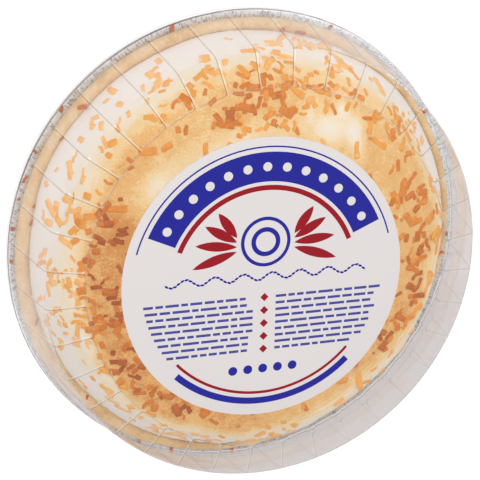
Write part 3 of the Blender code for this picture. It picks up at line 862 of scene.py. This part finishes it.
# %% Geometry Nodes: strew forms over a surface
def strew_tree():
    tree, given = geometry_tree("Strew", (
        ("Geometry", "NodeSocketGeometry", None), ("Forms", "NodeSocketCollection", None),
        ("Spacing", "NodeSocketFloat", 2.2 * MM), ("Most per Square Metre", "NodeSocketFloat", 82000.0),
        ("Smallest", "NodeSocketFloat", 0.7), ("Largest", "NodeSocketFloat", 1.35),
        ("Tilt", "NodeSocketFloat", 0.06), ("Lift", "NodeSocketFloat", 0.08 * MM),
        ("Seed", "NodeSocketInt", 4), ("Material", "NodeSocketMaterial", None)))

    def draw(low, high, offset, kind="FLOAT"):
        seed = math_node(tree, "ADD", given["Seed"], offset)
        made = add(tree, "FunctionNodeRandomValue", data_type=kind)
        sockets = [s for s in made.inputs if s.enabled]
        for socket, value in ((sockets[0], low), (sockets[1], high), (made.inputs["Seed"], seed)):
            plug(tree, socket, value)
        return next(s for s in made.outputs if s.enabled)

    thick = add(tree, "GeometryNodeInputNamedAttribute", {"Name": "coconut"}, data_type="FLOAT").outputs[0]
    spread = add(tree, "GeometryNodeDistributePointsOnFaces", {
        "Mesh": given["Geometry"], "Distance Min": given["Spacing"],
        "Density Max": given["Most per Square Metre"], "Density Factor": thick,
        "Seed": given["Seed"]}, distribute_method="POISSON")
    lean = math_node(tree, "MULTIPLY", given["Tilt"], -1.0)
    spin = add(tree, "ShaderNodeCombineXYZ", {
        0: draw(lean, given["Tilt"], 1), 1: draw(lean, given["Tilt"], 2),
        2: draw(0.0, math.tau, 3)}).outputs[0]
    pose = add(tree, "FunctionNodeRotateRotation", {
        "Rotation": spread.outputs["Rotation"], "Rotate By": spin}, rotation_space="LOCAL").outputs[0]
    forms = add(tree, "GeometryNodeCollectionInfo", {
        "Collection": given["Forms"], "Separate Children": True, "Reset Children": True}).outputs[0]
    toast = add(tree, "GeometryNodeInputNamedAttribute", {"Name": "toast"}, data_type="FLOAT").outputs[0]
    laid = add(tree, "GeometryNodeInstanceOnPoints", {
        "Points": spread.outputs["Points"], "Instance": forms, "Pick Instance": True,
        "Instance Index": draw(0, 999, 4, "INT"), "Rotation": pose,
        "Scale": draw(given["Smallest"], given["Largest"], 5)})
    rise = add(tree, "ShaderNodeCombineXYZ", {2: given["Lift"]}).outputs[0]
    lifted = add(tree, "GeometryNodeTranslateInstances", {
        "Instances": laid.outputs[0], "Translation": rise, "Local Space": True})
    flow = lifted.outputs[0]
    for name, value in (("browned", toast), ("own", draw(0.0, 1.0, 6))):
        kept = add(tree, "GeometryNodeStoreNamedAttribute", {"Name": name, "Geometry": flow},
                   data_type="FLOAT", domain="INSTANCE")
        tree.links.new(value, next(s for s in kept.inputs if s.name == "Value" and s.enabled))
        flow = kept.outputs[0]
    real = add(tree, "GeometryNodeRealizeInstances", {"Geometry": flow})
    return end_tree(tree, real.outputs[0], given["Material"])


# %% [markdown]
# Toasting turns coconut from pale orange to brown. Each ribbon's tone comes from its two numbers, and
# fine blotches keep it from looking like plastic.


# %% Coconut finish
def coconut_material():
    made, tree, shader = new_material("toasted_coconut", {"Roughness": 0.55, "Specular IOR Level": 0.35})
    value, fine = blotches(tree, 2.5 * MM, 0.7 * MM, 0.4)
    own = math_node(tree, "MULTIPLY_ADD", painted(tree, "own"), 0.40, -0.24)
    tone = math_node(tree, "ADD", painted(tree, "browned"), own)
    tone = math_node(tree, "MULTIPLY_ADD", math_node(tree, "SUBTRACT", value, 0.5), 0.4, tone, clamp=True)
    colour = ramp(tree, tone, (
        (0.0, linear(250, 194, 122)), (0.35, linear(239, 164, 68)), (0.65, linear(214, 122, 30)),
        (1.0, linear(166, 75, 10))))
    tree.links.new(colour, shader.inputs["Base Color"])
    bump(tree, shader, fine, 0.15 * MM, 0.5)
    return made


coconut = coconut_material()
shreds_mesh = grow(mound_mesh, strew_tree(), Forms=shred_forms, Material=coconut)
piece("coconut", shreds_mesh, coconut, "meringue")

# %% [markdown]
# A few shreds missed the meringue, and lie on the pastry rim and on the foil under the lid. Each is
# dropped straight down: a ray from above finds the surface and its slope, and the shred is laid there.

# %% Strays on the rim
# direction in degrees, radius in mm, number of the form, spin in degrees
STRAYS = ((140.8, 121.9, 1, 55), (152.6, 121.6, 8, 20), (159.7, 121.2, 7, 0), (164.6, 121.2, 14, 40),
          (172.1, 121.8, 6, 80), (180.3, 121.8, 8, 50), (67.3, 121.8, 6, 30), (108.3, 120.8, 0, 90),
          (243.3, 121.8, 6, 100), (252.5, 121.8, 1, 70), (269.0, 121.6, 4, 95), (31.9, 121.8, 6, 10),
          (356.9, 121.6, 8, 40), (351.6, 120.9, 3, 60), (137.2, 117.0, 0, 20), (146.4, 115.6, 13, 60),
          (154.7, 114.6, 4, 70), (164.8, 114.8, 8, 10), (169.2, 114.4, 1, 40), (76.2, 115.2, 2, 80),
          (81.0, 115.0, 10, 20), (196.0, 115.2, 5, 40), (358.2, 118.0, 3, 10), (352.8, 116.5, 7, 30),
          (222.0, 115.4, 13, 10), (310.0, 116.4, 7, 30))
STRAY_SCALE = 0.75
STRAY_LIFT = 0.3                          # how far its middle lies above the ground, in thicknesses
STRAY_TONE = 0.75                         # for both numbers that choose its colour


def strays_mesh():
    ground = bmesh.new()
    ground.from_mesh(tin.data)
    ground.from_mesh(crust.data)
    tree = BVHTree.FromBMesh(ground)
    ground.free()
    mesh = bpy.data.meshes.new("strays")
    with reshaping(mesh) as form:
        for direction, radius, number, spin in STRAYS:
            turn = math.radians(direction)
            above = Vector((radius * MM * math.cos(turn), radius * MM * math.sin(turn), LID_TOP))
            place, normal, _, _ = tree.ray_cast(above, Vector((0.0, 0.0, -1.0)))
            ribbon = shred_forms.objects["ribbon_%02d" % number].data.copy()
            upright = normal.to_track_quat("Z", "X").to_matrix().to_4x4()
            pose = upright @ Matrix.Rotation(math.radians(spin), 4, "Z") @ Matrix.Scale(STRAY_SCALE, 4)
            ribbon.transform(Matrix.Translation(place + normal * SHRED_THICKNESS * STRAY_LIFT) @ pose)
            form.from_mesh(ribbon)
    for name in ("browned", "own"):
        paint(mesh, name, np.full(len(mesh.vertices), STRAY_TONE))
    return mesh


piece("stray_coconut", strays_mesh(), coconut)

# %% [markdown]
# ## The clear lid
# The lid is drawn from thin clear sheet. Its shoulder and its leaning wall hold thirty-six shallow
# panes, pressed in a little and round at their inner corners. What is left between them stands out as
# ribs, which are narrow at the shoulder and spread towards the foot. Below the wall a flat flange lies
# over the tin's flange, and a short skirt grips the edge. One panel, with its rib in the middle, is made
# as a grid, row by row from the middle of the top to the skirt, and the ring tree makes the rest. The
# grid's columns follow the rib's two edges, so that each edge stays crisp with few faces.

# %% Sizes of the lid
LID_PANELS = 36
LID_FIRST = math.radians(5.0)
LID_SHEET = 0.3 * MM
LID_TOP_RADIUS = 95.0 * MM
LID_SHOULDER_RADIUS = 109.3 * MM
LID_SHOULDER_DROP = 3.1 * MM
LID_SHOULDER_ROUND = 5.0 * MM
LID_WALL_SLOPE = 12.0
LID_FOOT_RADIUS = 122.6 * MM
LID_FOOT_RISE = 3.0 * MM
LID_FLANGE = FLANGE + 1.6 * MM
LID_SKIRT_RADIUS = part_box("clear_lid")[1].x
LID_SKIRT_FOOT = FLANGE - 1.6 * MM
LID_FOOT_STEP = 1.2 * MM                  # the bend from the wall to the flange: how far out its centre is
LID_FOOT_ROUND = 1.0 * MM                 # and its radius
LID_EDGE_INSET = 0.9 * MM                 # the same for the bend from the flange to the skirt
LID_EDGE_ROUND = 0.6 * MM
# radius, half width and rise of a rib, in mm
RIB_TABLE = ((95.0, 0.26, 0.15), (104.0, 0.32, 0.12), (109.3, 0.42, 0.06), (122.6, 0.55, 0.06))
RIB_EDGE = 0.2 * MM                       # from a rib's face to a pane's
PANE_CORNER = 2.2 * MM
PANE_ROWS = (0.0, 0.3, 0.6, 1.0, 1.5, 2.2, 3.4)      # down the shoulder from its inner edge, in mm
PANEL_ACROSS = 4
WALL_FACET = 0.02                         # how flat the panels stay on the wall
FACET_STARTS = (60.0 * MM, 90.0 * MM)     # radii over which the round top goes over into flat panels
FACET_ENDS = (103.0 * MM, 109.0 * MM)     # and those over which the panels grow round again
FOOT_BLEND = (0.2 * MM, 2.4 * MM)         # heights above the flange over which panels and ribs set in
EDGE_LINE = 0.35 * MM                     # beside a rib's edge, where its line has faded
LINE_FADE = ((95.0, 1.0), (104.0, 0.9), (111.0, 0.8), (122.6, 0.7))    # radius in mm, strength of a line
FAR_SIDE = (313.0, 2, 0.80)               # lines fade here: direction, sharpness, share
FAR_HAZE = (313.0, 3, 0.09)               # the wall blurs here: direction, sharpness, roughness
HAZE_STARTS = (104.0 * MM, 110.0 * MM)
INNER_GLINT = 0.45                        # how pale the panes' inner edges are


def lid_profile():
    """Outer face from the middle of the top to the foot of the skirt."""
    slope = math.degrees(math.atan2(LID_SHOULDER_DROP, LID_SHOULDER_RADIUS - LID_TOP_RADIUS))
    centre = (LID_SHOULDER_RADIUS, LID_TOP - LID_SHOULDER_DROP - LID_SHOULDER_ROUND)
    bend = arc(centre, LID_SHOULDER_ROUND, 90.0 - slope, LID_WALL_SLOPE, 9)
    start = np.array((LID_TOP_RADIUS, LID_TOP))
    down = np.array(bend[0]) - start
    length = np.linalg.norm(down)
    near = [start + down * row * MM / length for row in PANE_ROWS]
    shoulder = [start + down * share for share in (0.4, 0.6, 0.8)]
    foot = np.array((LID_FOOT_RADIUS, FLANGE + LID_FOOT_RISE))
    wall = [bend[-1] + (foot - bend[-1]) * share for share in np.linspace(0.1, 1.0, 10)]
    return np.array([
        (0.0, LID_TOP), (40.0 * MM, LID_TOP), (80.0 * MM, LID_TOP),
        (LID_TOP_RADIUS - EDGE_LINE, LID_TOP), *near, *shoulder, *bend, *wall,
        *arc((LID_FOOT_RADIUS + LID_FOOT_STEP, LID_FLANGE + LID_FOOT_ROUND), LID_FOOT_ROUND, 200.0, 270.0, 4),
        *arc((LID_SKIRT_RADIUS - LID_EDGE_INSET, LID_FLANGE - LID_EDGE_ROUND), LID_EDGE_ROUND, 90.0, 10.0, 4),
        (LID_SKIRT_RADIUS - 0.15 * MM, FLANGE), (LID_SKIRT_RADIUS, LID_SKIRT_FOOT),
    ])


# %% Draw one panel with its rib
def rib_at(radius):
    """Half width and rise of a rib, wider where the panes' inner corners are round."""
    radii, halves, rises = np.array(RIB_TABLE).T * MM
    left = PANE_CORNER - np.clip(radius - LID_TOP_RADIUS, 0.0, PANE_CORNER)
    corner = PANE_CORNER - math.sqrt(PANE_CORNER ** 2 - left ** 2)
    return np.interp(radius, radii, halves) + corner, np.interp(radius, radii, rises)


def panel_sector():
    profile = lid_profile()
    tangent = np.gradient(profile, axis=0)
    normal = np.stack([-tangent[:, 1], tangent[:, 0]], -1)
    normal /= np.linalg.norm(normal, axis=1)[:, None]
    half_panel = math.pi / LID_PANELS
    beyond = np.linspace(0.0, 1.0, PANEL_ACROSS + 1)[1:]
    # One number for each column: on a rib's face, and on the flank that catches the light.
    on_rib = np.array([0.0] * (PANEL_ACROSS + 2) + [1.0] * 3 + [0.0] * (PANEL_ACROSS + 2))
    flank = np.array([0.0] * (PANEL_ACROSS + 1) + [1.0, 1.0, 0.2] + [0.0] * (PANEL_ACROSS + 3))
    rows, pale, flank_shade = [], [], []
    for (radius, height), out in zip(profile, normal):
        half, rise = rib_at(radius)
        edges = np.array([half - RIB_EDGE / 2.0, half + RIB_EDGE / 2.0, half + EDGE_LINE])
        fade = np.interp(radius / MM, *np.array(LINE_FADE).T)
        edges = np.minimum(edges / max(radius, 1.0 * MM), half_panel * np.array([0.5, 0.6, 0.7]))
        side = np.concatenate([edges, edges[-1] + (half_panel - edges[-1]) * beyond])
        turns = np.concatenate([-side[::-1], [0.0], side])
        above_foot = float(soft_step(height, *(LID_FLANGE + rise for rise in FOOT_BLEND)))
        flat = 1.0 - (1.0 - WALL_FACET) * float(soft_step(radius, *FACET_ENDS))
        flat *= float(soft_step(radius, *FACET_STARTS)) * above_foot
        chord = math.cos(half_panel) / np.cos(half_panel - np.abs(turns))
        wide = radius * (1.0 + (chord - 1.0) * flat)
        past_edge = float(soft_step(radius, LID_TOP_RADIUS, LID_TOP_RADIUS + RIB_EDGE))
        lift = (on_rib - 0.5) * rise * past_edge * above_foot
        wide = wide + out[0] * lift
        rows.append(round_axis(wide, turns, height + out[1] * lift))
        off_edge = abs(radius - LID_TOP_RADIUS - RIB_EDGE / 2.0)
        inner = (1.0 - float(soft_step(off_edge, RIB_EDGE / 2.0, EDGE_LINE))) * (1.0 - on_rib)
        line = above_foot * fade * (radius > LID_TOP_RADIUS)
        pale.append(np.maximum(flank * line, inner * INNER_GLINT))
        # Painted shade: a darker tint on the other flank and on the panes' inner edges
        flank_shade.append(np.maximum(flank[::-1] * line, inner))
    mesh = grid_mesh("panel", np.array(rows), False)
    paint(mesh, "pale_line", pale)
    paint(mesh, "dark_line", flank_shade)
    return mesh


def fade_far_side(mesh):
    """Lines are faint, and mirrored things blur, where the wall is seen from inside."""
    _, radius, turn = places(mesh)
    *bed, share = FAR_SIDE
    for name in ("pale_line", "dark_line"):
        values = np.array([point.value for point in mesh.attributes[name].data])
        paint(mesh, name, values * (1.0 - share * facing(turn, *bed)))
    *bed, roughness = FAR_HAZE
    paint(mesh, "haze", roughness * facing(turn, *bed) * soft_step(radius, *HAZE_STARTS))


# %% [markdown]
# Clear sheet bends and mirrors light like glass, but it is thin, so lamps shine almost straight
# through. A glass shader alone would cast a dark shadow on the pie. So for rays that only carry light to
# what lies below, the material is transparent, and for rays that are seen it is glass. It bends light
# less than solid glass would, because its two faces lie so close together. Where the sheet is bent
# sharply, along the ribs, one flank catches the light of the room and the other looks dark. A coat does
# the first, and a darker tint is painted shade for the second and for the panes' inner edges, each as
# strong as a number on the mesh says. A slow bump makes the mirrored and the seen things waver a
# little, and the far wall's roughness smears them.


# %% Clear sheet
def sheet_material():
    made, tree, shader = new_material("clear_sheet", {
        "IOR": 1.25, "Transmission Weight": 1.0, "Coat IOR": 4.0, "Coat Roughness": 0.2})
    value, _ = blotches(tree, 16.0 * MM, 5.0 * MM, 0.2)
    bump(tree, shader, value, 1.0 * MM, 0.2)
    coat = math_node(tree, "MULTIPLY_ADD", painted(tree, "pale_line"), 0.97, 0.03)
    tree.links.new(coat, shader.inputs["Coat Weight"])
    tree.links.new(math_node(tree, "ADD", painted(tree, "haze"), 0.03), shader.inputs["Roughness"])
    # Painted shade: the base colour darkens along the ribs' shaded flanks and inner edges
    painted_shade_tint = blend_colour(tree, painted(tree, "dark_line"), linear(254, 252, 252), linear(208, 196, 185))
    tree.links.new(painted_shade_tint, shader.inputs["Base Color"])
    path = add(tree, "ShaderNodeLightPath").outputs
    light_only = math_node(tree, "MAXIMUM", path["Is Shadow Ray"], path["Is Diffuse Ray"])
    pass_on = add(tree, "ShaderNodeBsdfTransparent", {"Color": linear(252, 252, 252)})
    whole = add(tree, "ShaderNodeMixShader", {0: light_only, 1: shader.outputs[0], 2: pass_on.outputs[0]})
    tree.links.new(whole.outputs[0], tree.nodes["Material Output"].inputs["Surface"])
    return made


clear_sheet = sheet_material()
lid_mesh = clean(grow(panel_sector(), RING, Count=LID_PANELS, **{"First Turn": LID_FIRST}), outwards=False)
fade_far_side(lid_mesh)
piece("lid", with_sheet(lid_mesh, LID_SHEET), clear_sheet, "clear_lid", sharp=38)

# %% [markdown]
# ## The paper label
# A round label of plain white paper lies on the lid. Its disc is a turned shape with a softened edge,
# and its print lies on it as thin layers of ink, each a flat outline with a little thickness.

# %% Paper disc
LABEL_RADIUS = 73.5 * MM
LABEL_CENTRE = (-3.9 * MM, -3.0 * MM)
LABEL_FOOT = LID_TOP + FIT_GAP
INK = 0.02 * MM
INK_LAYERS = 4
LABEL_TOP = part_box("paper_label")[1].z - (INK_LAYERS + 0.5) * INK
LABEL_ROUND = 0.1 * MM


def paper_material():
    made, tree, shader = new_material("paper", {"Roughness": 0.6, "Specular IOR Level": 0.3})
    value, fine = blotches(tree, 12.0 * MM, 0.5 * MM, 0.5)
    share = math_node(tree, "MULTIPLY", value, 0.10)
    uneven = blend_colour(tree, share, linear(218, 212, 211), linear(255, 255, 255))
    tree.links.new(uneven, shader.inputs["Base Color"])
    bump(tree, shader, fine, 0.06 * MM, 0.4)
    return made


paper = paper_material()
edge = arc((LABEL_RADIUS - LABEL_ROUND, LABEL_TOP - LABEL_ROUND), LABEL_ROUND, 90.0, 0.0, 3)
label_mesh = turned("label", [(0.0, LABEL_TOP), (LABEL_RADIUS * 0.6, LABEL_TOP), *edge,
                              (LABEL_RADIUS, LABEL_FOOT), (0.0, LABEL_FOOT)], 240)
label_mesh.transform(Matrix.Translation((*LABEL_CENTRE, 0.0)))
label = piece("label", label_mesh, paper, "paper_label")

# %% [markdown]
# ## The print
# The print is a plain ornament of this pie's own: a blue arch with white dots between two thin arches,
# rings between red leaves, a wavy line, two columns of short bars with a row of diamonds between them,
# and at the foot a row of dots over two arches turned upside down. Each shape is an outline in the
# label's own plane, in millimetres from its middle. Its first number is its layer above the paper.


# %% Flat shapes of ink
ARCH_STEPS = 48


def plate(form, outline, layer):
    """Add a thin closed plate over an outline in millimetres, on a layer above the paper."""
    low = LABEL_TOP + (layer + 0.25) * INK
    corners = [form.verts.new((x * MM + LABEL_CENTRE[0], y * MM + LABEL_CENTRE[1], low)) for x, y in outline]
    face = form.faces.new(corners)
    grown = bmesh.ops.extrude_face_region(form, geom=[face])
    lifted = [item for item in grown["geom"] if isinstance(item, bmesh.types.BMVert)]
    bmesh.ops.translate(form, verts=lifted, vec=(0.0, 0.0, INK))


def arch(inner, outer, start, end):
    return arc((0, 0), outer, start, end, ARCH_STEPS) + arc((0, 0), inner, end, start, ARCH_STEPS)


def disc(x, y, radius, steps=32):
    return arc((x, y), radius, 0.0, 360.0, steps)[:-1]


def bar(x, y, width, height):
    return [(x, y), (x + width, y), (x + width, y + height), (x, y + height)]


def leaf(x, y, length, width, angle, steps=10):
    """A pointed leaf from its stem at (x, y)."""
    along = np.linspace(0.0, 1.0, steps + 1)
    side = np.sin(along * math.pi) ** 0.8 * width / 2.0
    path = list(zip(along * length, side)) + list(zip(along[-2:0:-1] * length, -side[-2:0:-1]))
    turn = math.radians(angle)
    return [(x + u * math.cos(turn) - v * math.sin(turn), y + u * math.sin(turn) + v * math.cos(turn))
            for u, v in path]


def inked(name, shapes, material):
    mesh = bpy.data.meshes.new(name)
    with reshaping(mesh) as form:
        for layer, outline in shapes:
            plate(form, outline, layer)
        bmesh.ops.recalc_face_normals(form, faces=form.faces)
    return piece(name, mesh, material, sharp=30)


# %% Lay out the ornament
DOT_ARCH = 58.5                           # radius of the arch of dots
DOT_RADIUS = 2.3
RINGS = (0.0, 20.0)
LEAF_ANGLES = (-18, 6, 30, 54)
LEAF_STEM = (15.0, 16.0)                  # where the lowest leaf starts, on both sides
LEAF_STEP = 2.4
LEAF_SIZE = (24.0, 5.0)
LEAF_SHORTER = 2.5                        # than the leaf below it
WAVE_REACH = 52.0
WAVE_STEP = 2.0                           # from stroke to stroke of the wavy line
WAVE_MIDDLE = 1.8
WAVE_SWING = 1.6
WAVE_TURN = 0.42                          # radians per millimetre
WAVE_STEEPEST = 0.67                      # its steepest slope
WAVE_STROKE = (2.6, 1.2)
blue_shapes = [(0, arch(51.0, 66.0, 24.0, 156.0)), (0, arch(68.2, 69.0, 16.0, 164.0)),
               (0, disc(*RINGS, 13.0, 48)), (2, disc(*RINGS, 7.6, 40))]
red_shapes = [(0, arch(46.6, 49.2, 22.0, 158.0))]
white_shapes = [(1, disc(DOT_ARCH * math.cos(a), DOT_ARCH * math.sin(a), DOT_RADIUS))
                for a in np.radians(range(30, 151, 10))]
white_shapes += [(1, disc(*RINGS, 11.2, 48)), (3, disc(*RINGS, 5.2, 40))]
for side in (-1, 1):
    for number, angle in enumerate(LEAF_ANGLES):
        stem = (side * LEAF_STEM[0], LEAF_STEM[1] + number * LEAF_STEP)
        length, width = LEAF_SIZE
        heading = 90.0 - side * (90.0 - angle)
        red_shapes.append((0, leaf(*stem, length - number * LEAF_SHORTER, width, heading)))
for x in np.arange(-WAVE_REACH, WAVE_REACH + 0.1, WAVE_STEP):
    slope = math.degrees(math.atan(WAVE_STEEPEST * math.cos(x * WAVE_TURN)))
    y = WAVE_MIDDLE + WAVE_SWING * math.sin(x * WAVE_TURN)
    blue_shapes.append((0, leaf(x, y, *WAVE_STROKE, slope, 4)))

# %% [markdown]
# The columns are rows of short bars. Their lengths are drawn at random from a fixed seed, and a row stops
# short of the label's edge, so that both columns follow the round label.

# %% Two columns of short bars
COLUMN_ROWS = 9
COLUMN_TOP = -10.0
COLUMN_START = 6.0                        # from the middle line
COLUMN_MARGIN = 10.0                      # from a row's end to the label's edge
ROW_PITCH = 3.5
BAR_HEIGHT = 1.4
BAR_GAP = 1.2
BAR_LENGTHS = (3.0, 9.0)                  # least and most
DIAMOND = 2.2
drawn = random.Random(7)


def line_of_bars(start, end, y):
    """A row of bars as outlines."""
    shapes, x = [], start
    while x < end - BAR_LENGTHS[0]:
        width = min(drawn.uniform(*BAR_LENGTHS), end - x)
        shapes.append((0, bar(x, y, width, BAR_HEIGHT)))
        x += width + BAR_GAP
    return shapes


bar_shapes = []
for row in range(COLUMN_ROWS):
    y = COLUMN_TOP - row * ROW_PITCH
    row_end = math.sqrt((LABEL_RADIUS / MM - COLUMN_MARGIN) ** 2 - y * y)
    bar_shapes += line_of_bars(-row_end, -COLUMN_START, y)
    bar_shapes += line_of_bars(COLUMN_START, row_end, y)
    if row % 2 == 0:
        red_shapes.append((0, disc(0.0, y + BAR_HEIGHT / 2.0, DIAMOND, 4)))
red_shapes.append((0, arch(60.5, 62.0, 222.0, 318.0)))
blue_shapes.append((0, arch(64.0, 67.5, 226.0, 314.0)))
blue_shapes += [(0, disc(x, -48.0, 2.4)) for x in (-16.0, -8.0, 0.0, 8.0, 16.0)]


# %% Print the label
def ink_material(name, colour):
    made, _, _ = new_material(name, {"Base Color": colour, "Roughness": 0.5, "Specular IOR Level": 0.2})
    return made


prints = (
    inked("print_blue", blue_shapes, ink_material("blue_ink", linear(32, 35, 145))),
    inked("print_red", red_shapes, ink_material("red_ink", linear(150, 16, 30))),
    inked("print_white", white_shapes, paper),
    inked("print_bars", bar_shapes, ink_material("pale_ink", linear(70, 72, 150))),
)
# Thin paper lets light through, so the label doesn't darken the pie below it.
for sheet in (label, *prints):
    sheet.visible_shadow = False
    sheet.visible_diffuse = False

# %% [markdown]
# ## Light, floor and camera
# Packs are photographed in a grey room with large soft lamps round them, on a pale table, and the
# table is then made plain white in the picture. Clear sheet needs the grey: its ribs and edges mirror
# it and so become visible. The world is that grey room. Two soft lamps stand on the far sides, and the
# lid doesn't mirror them. The table glows a little: looked at directly it is white, and its Light Path
# makes it grey where the lid mirrors it, and, as painted shade, to every ray that has passed the lid on
# the side where the lid leans over it.

# %% World and lamps
ROOM_TOP = 0.80
ROOM_HORIZON = 0.72
world = bpy.data.worlds.new("room")
world.use_nodes = True
room = world.node_tree
direction = add(room, "ShaderNodeTexCoord").outputs["Generated"]
upward = add(room, "ShaderNodeSeparateXYZ", {0: direction}).outputs[2]
grey = ramp(room, upward, ((0.0, (ROOM_HORIZON,) * 3 + (1,)), (0.6, (ROOM_TOP,) * 3 + (1,))))
room.links.new(grey, room.nodes["Background"].inputs["Color"])
scene.world = world
LAMPS = ((138.0, 48.0, 4.1), (40.0, 45.0, 2.9))      # direction, elevation, power
LAMP_DISTANCE = 1.3
LAMP_SIZE = 0.9


def soft_lamp(direction, elevation, power):
    turn, rise = math.radians(direction), math.radians(elevation)
    towards = Vector((math.cos(turn) * math.cos(rise), math.sin(turn) * math.cos(rise), math.sin(rise)))
    data = bpy.data.lights.new("soft_lamp", "AREA")
    data.shape = "DISK"
    data.size = LAMP_SIZE
    data.energy = power
    lamp = bpy.data.objects.new("soft_lamp", data)
    lamp.location = towards * LAMP_DISTANCE
    lamp.rotation_euler = towards.to_track_quat("Z", "Y").to_euler()
    lamp.visible_glossy = False
    scene.collection.objects.link(lamp)


for lamp_values in LAMPS:
    soft_lamp(*lamp_values)

# %% Table
TABLE_HALF = 3.0
# Painted shade on the table: greyer, seen through the lid, on the side where the lid leans over it
SHADE_SIDE = math.radians(296.0)          # side of the table that is grey through the lid
SHADE_REACH = 0.12                        # from the middle to where it is darkest
corners = [(x * TABLE_HALF, y * TABLE_HALF, 0.0) for x, y in ((-1, -1), (1, -1), (1, 1), (-1, 1))]
table_mesh = bpy.data.meshes.new("table")
table_mesh.from_pydata(corners, [], [(0, 1, 2, 3)])
white_table, table_tree, table_shader = new_material("white_table", {
    "Base Color": (0.1, 0.1, 0.1, 1.0), "Roughness": 0.9, "Specular IOR Level": 0.0,
    "Emission Strength": 1.0})
side = (math.cos(SHADE_SIDE), math.sin(SHADE_SIDE), 0.0)
along = add(table_tree, "ShaderNodeVectorMath", {0: here(table_tree), 1: side},
            operation="DOT_PRODUCT").outputs["Value"]
# Painted shade: how far a point lies towards the shaded side of the table
shade_share = add(table_tree, "ShaderNodeMapRange", {0: along, 1: 0.0, 2: SHADE_REACH}, clamp=True).outputs[0]
through_lid_shade = ramp(table_tree, shade_share, ((0.0, linear(250, 250, 250)), (0.42, linear(221, 217, 216)),
                                 (0.75, linear(211, 207, 206)), (1.0, linear(201, 197, 196))))
ray = add(table_tree, "ShaderNodeLightPath").outputs
indirect = blend_colour(table_tree, ray["Is Reflection Ray"], through_lid_shade, linear(208, 202, 204))
glow = blend_colour(table_tree, ray["Is Camera Ray"], indirect, linear(255, 255, 255))
table_tree.links.new(glow, table_shader.inputs["Emission Color"])
table_mesh.materials.append(white_table)
table = bpy.data.objects.new("table", table_mesh)
scene.collection.objects.link(table)

# %% [markdown]
# The camera stands above the pie, a little behind and to the left of the label's print, and is rolled
# so that the print runs slightly uphill. Its place follows from three turns and a distance, measured
# from the middle of the tin's rim.

# %% Camera
DISTANCE = 0.775
TILT = math.radians(25.98)                # from straight down
ROLL = math.radians(44.78)                # direction of the pie's upright axis in the picture
HEADING = math.radians(46.7)              # which side of the pie leans to the camera
FOCAL_PIXELS = 1456.9                     # for a picture 480 pixels wide
PICTURE = 480.0
RIM_CENTRE_PIXEL = (239.75, 240.75)
SENSOR = 36.0

turns = Matrix.Rotation(-ROLL, 3, "Z") @ Matrix.Rotation(TILT, 3, "Y") @ Matrix.Rotation(HEADING, 3, "Z")
rim = Vector(((RIM_CENTRE_PIXEL[0] - PICTURE / 2) * DISTANCE / FOCAL_PIXELS,
              -(RIM_CENTRE_PIXEL[1] - PICTURE / 2) * DISTANCE / FOCAL_PIXELS, -DISTANCE))
camera_data = bpy.data.cameras.new("camera")
camera_data.sensor_width = SENSOR
camera_data.lens = FOCAL_PIXELS * SENSOR / PICTURE
camera = bpy.data.objects.new("camera", camera_data)
camera.matrix_world = (Matrix.Translation(Vector((0.0, 0.0, FLANGE)) - turns.transposed() @ rim)
                       @ turns.transposed().to_4x4())
scene.collection.objects.link(camera)
scene.camera = camera
scene.view_settings.view_transform = "Standard"
print("camera at", [round(c, 3) for c in camera.location], "lens %.1f mm" % camera_data.lens)
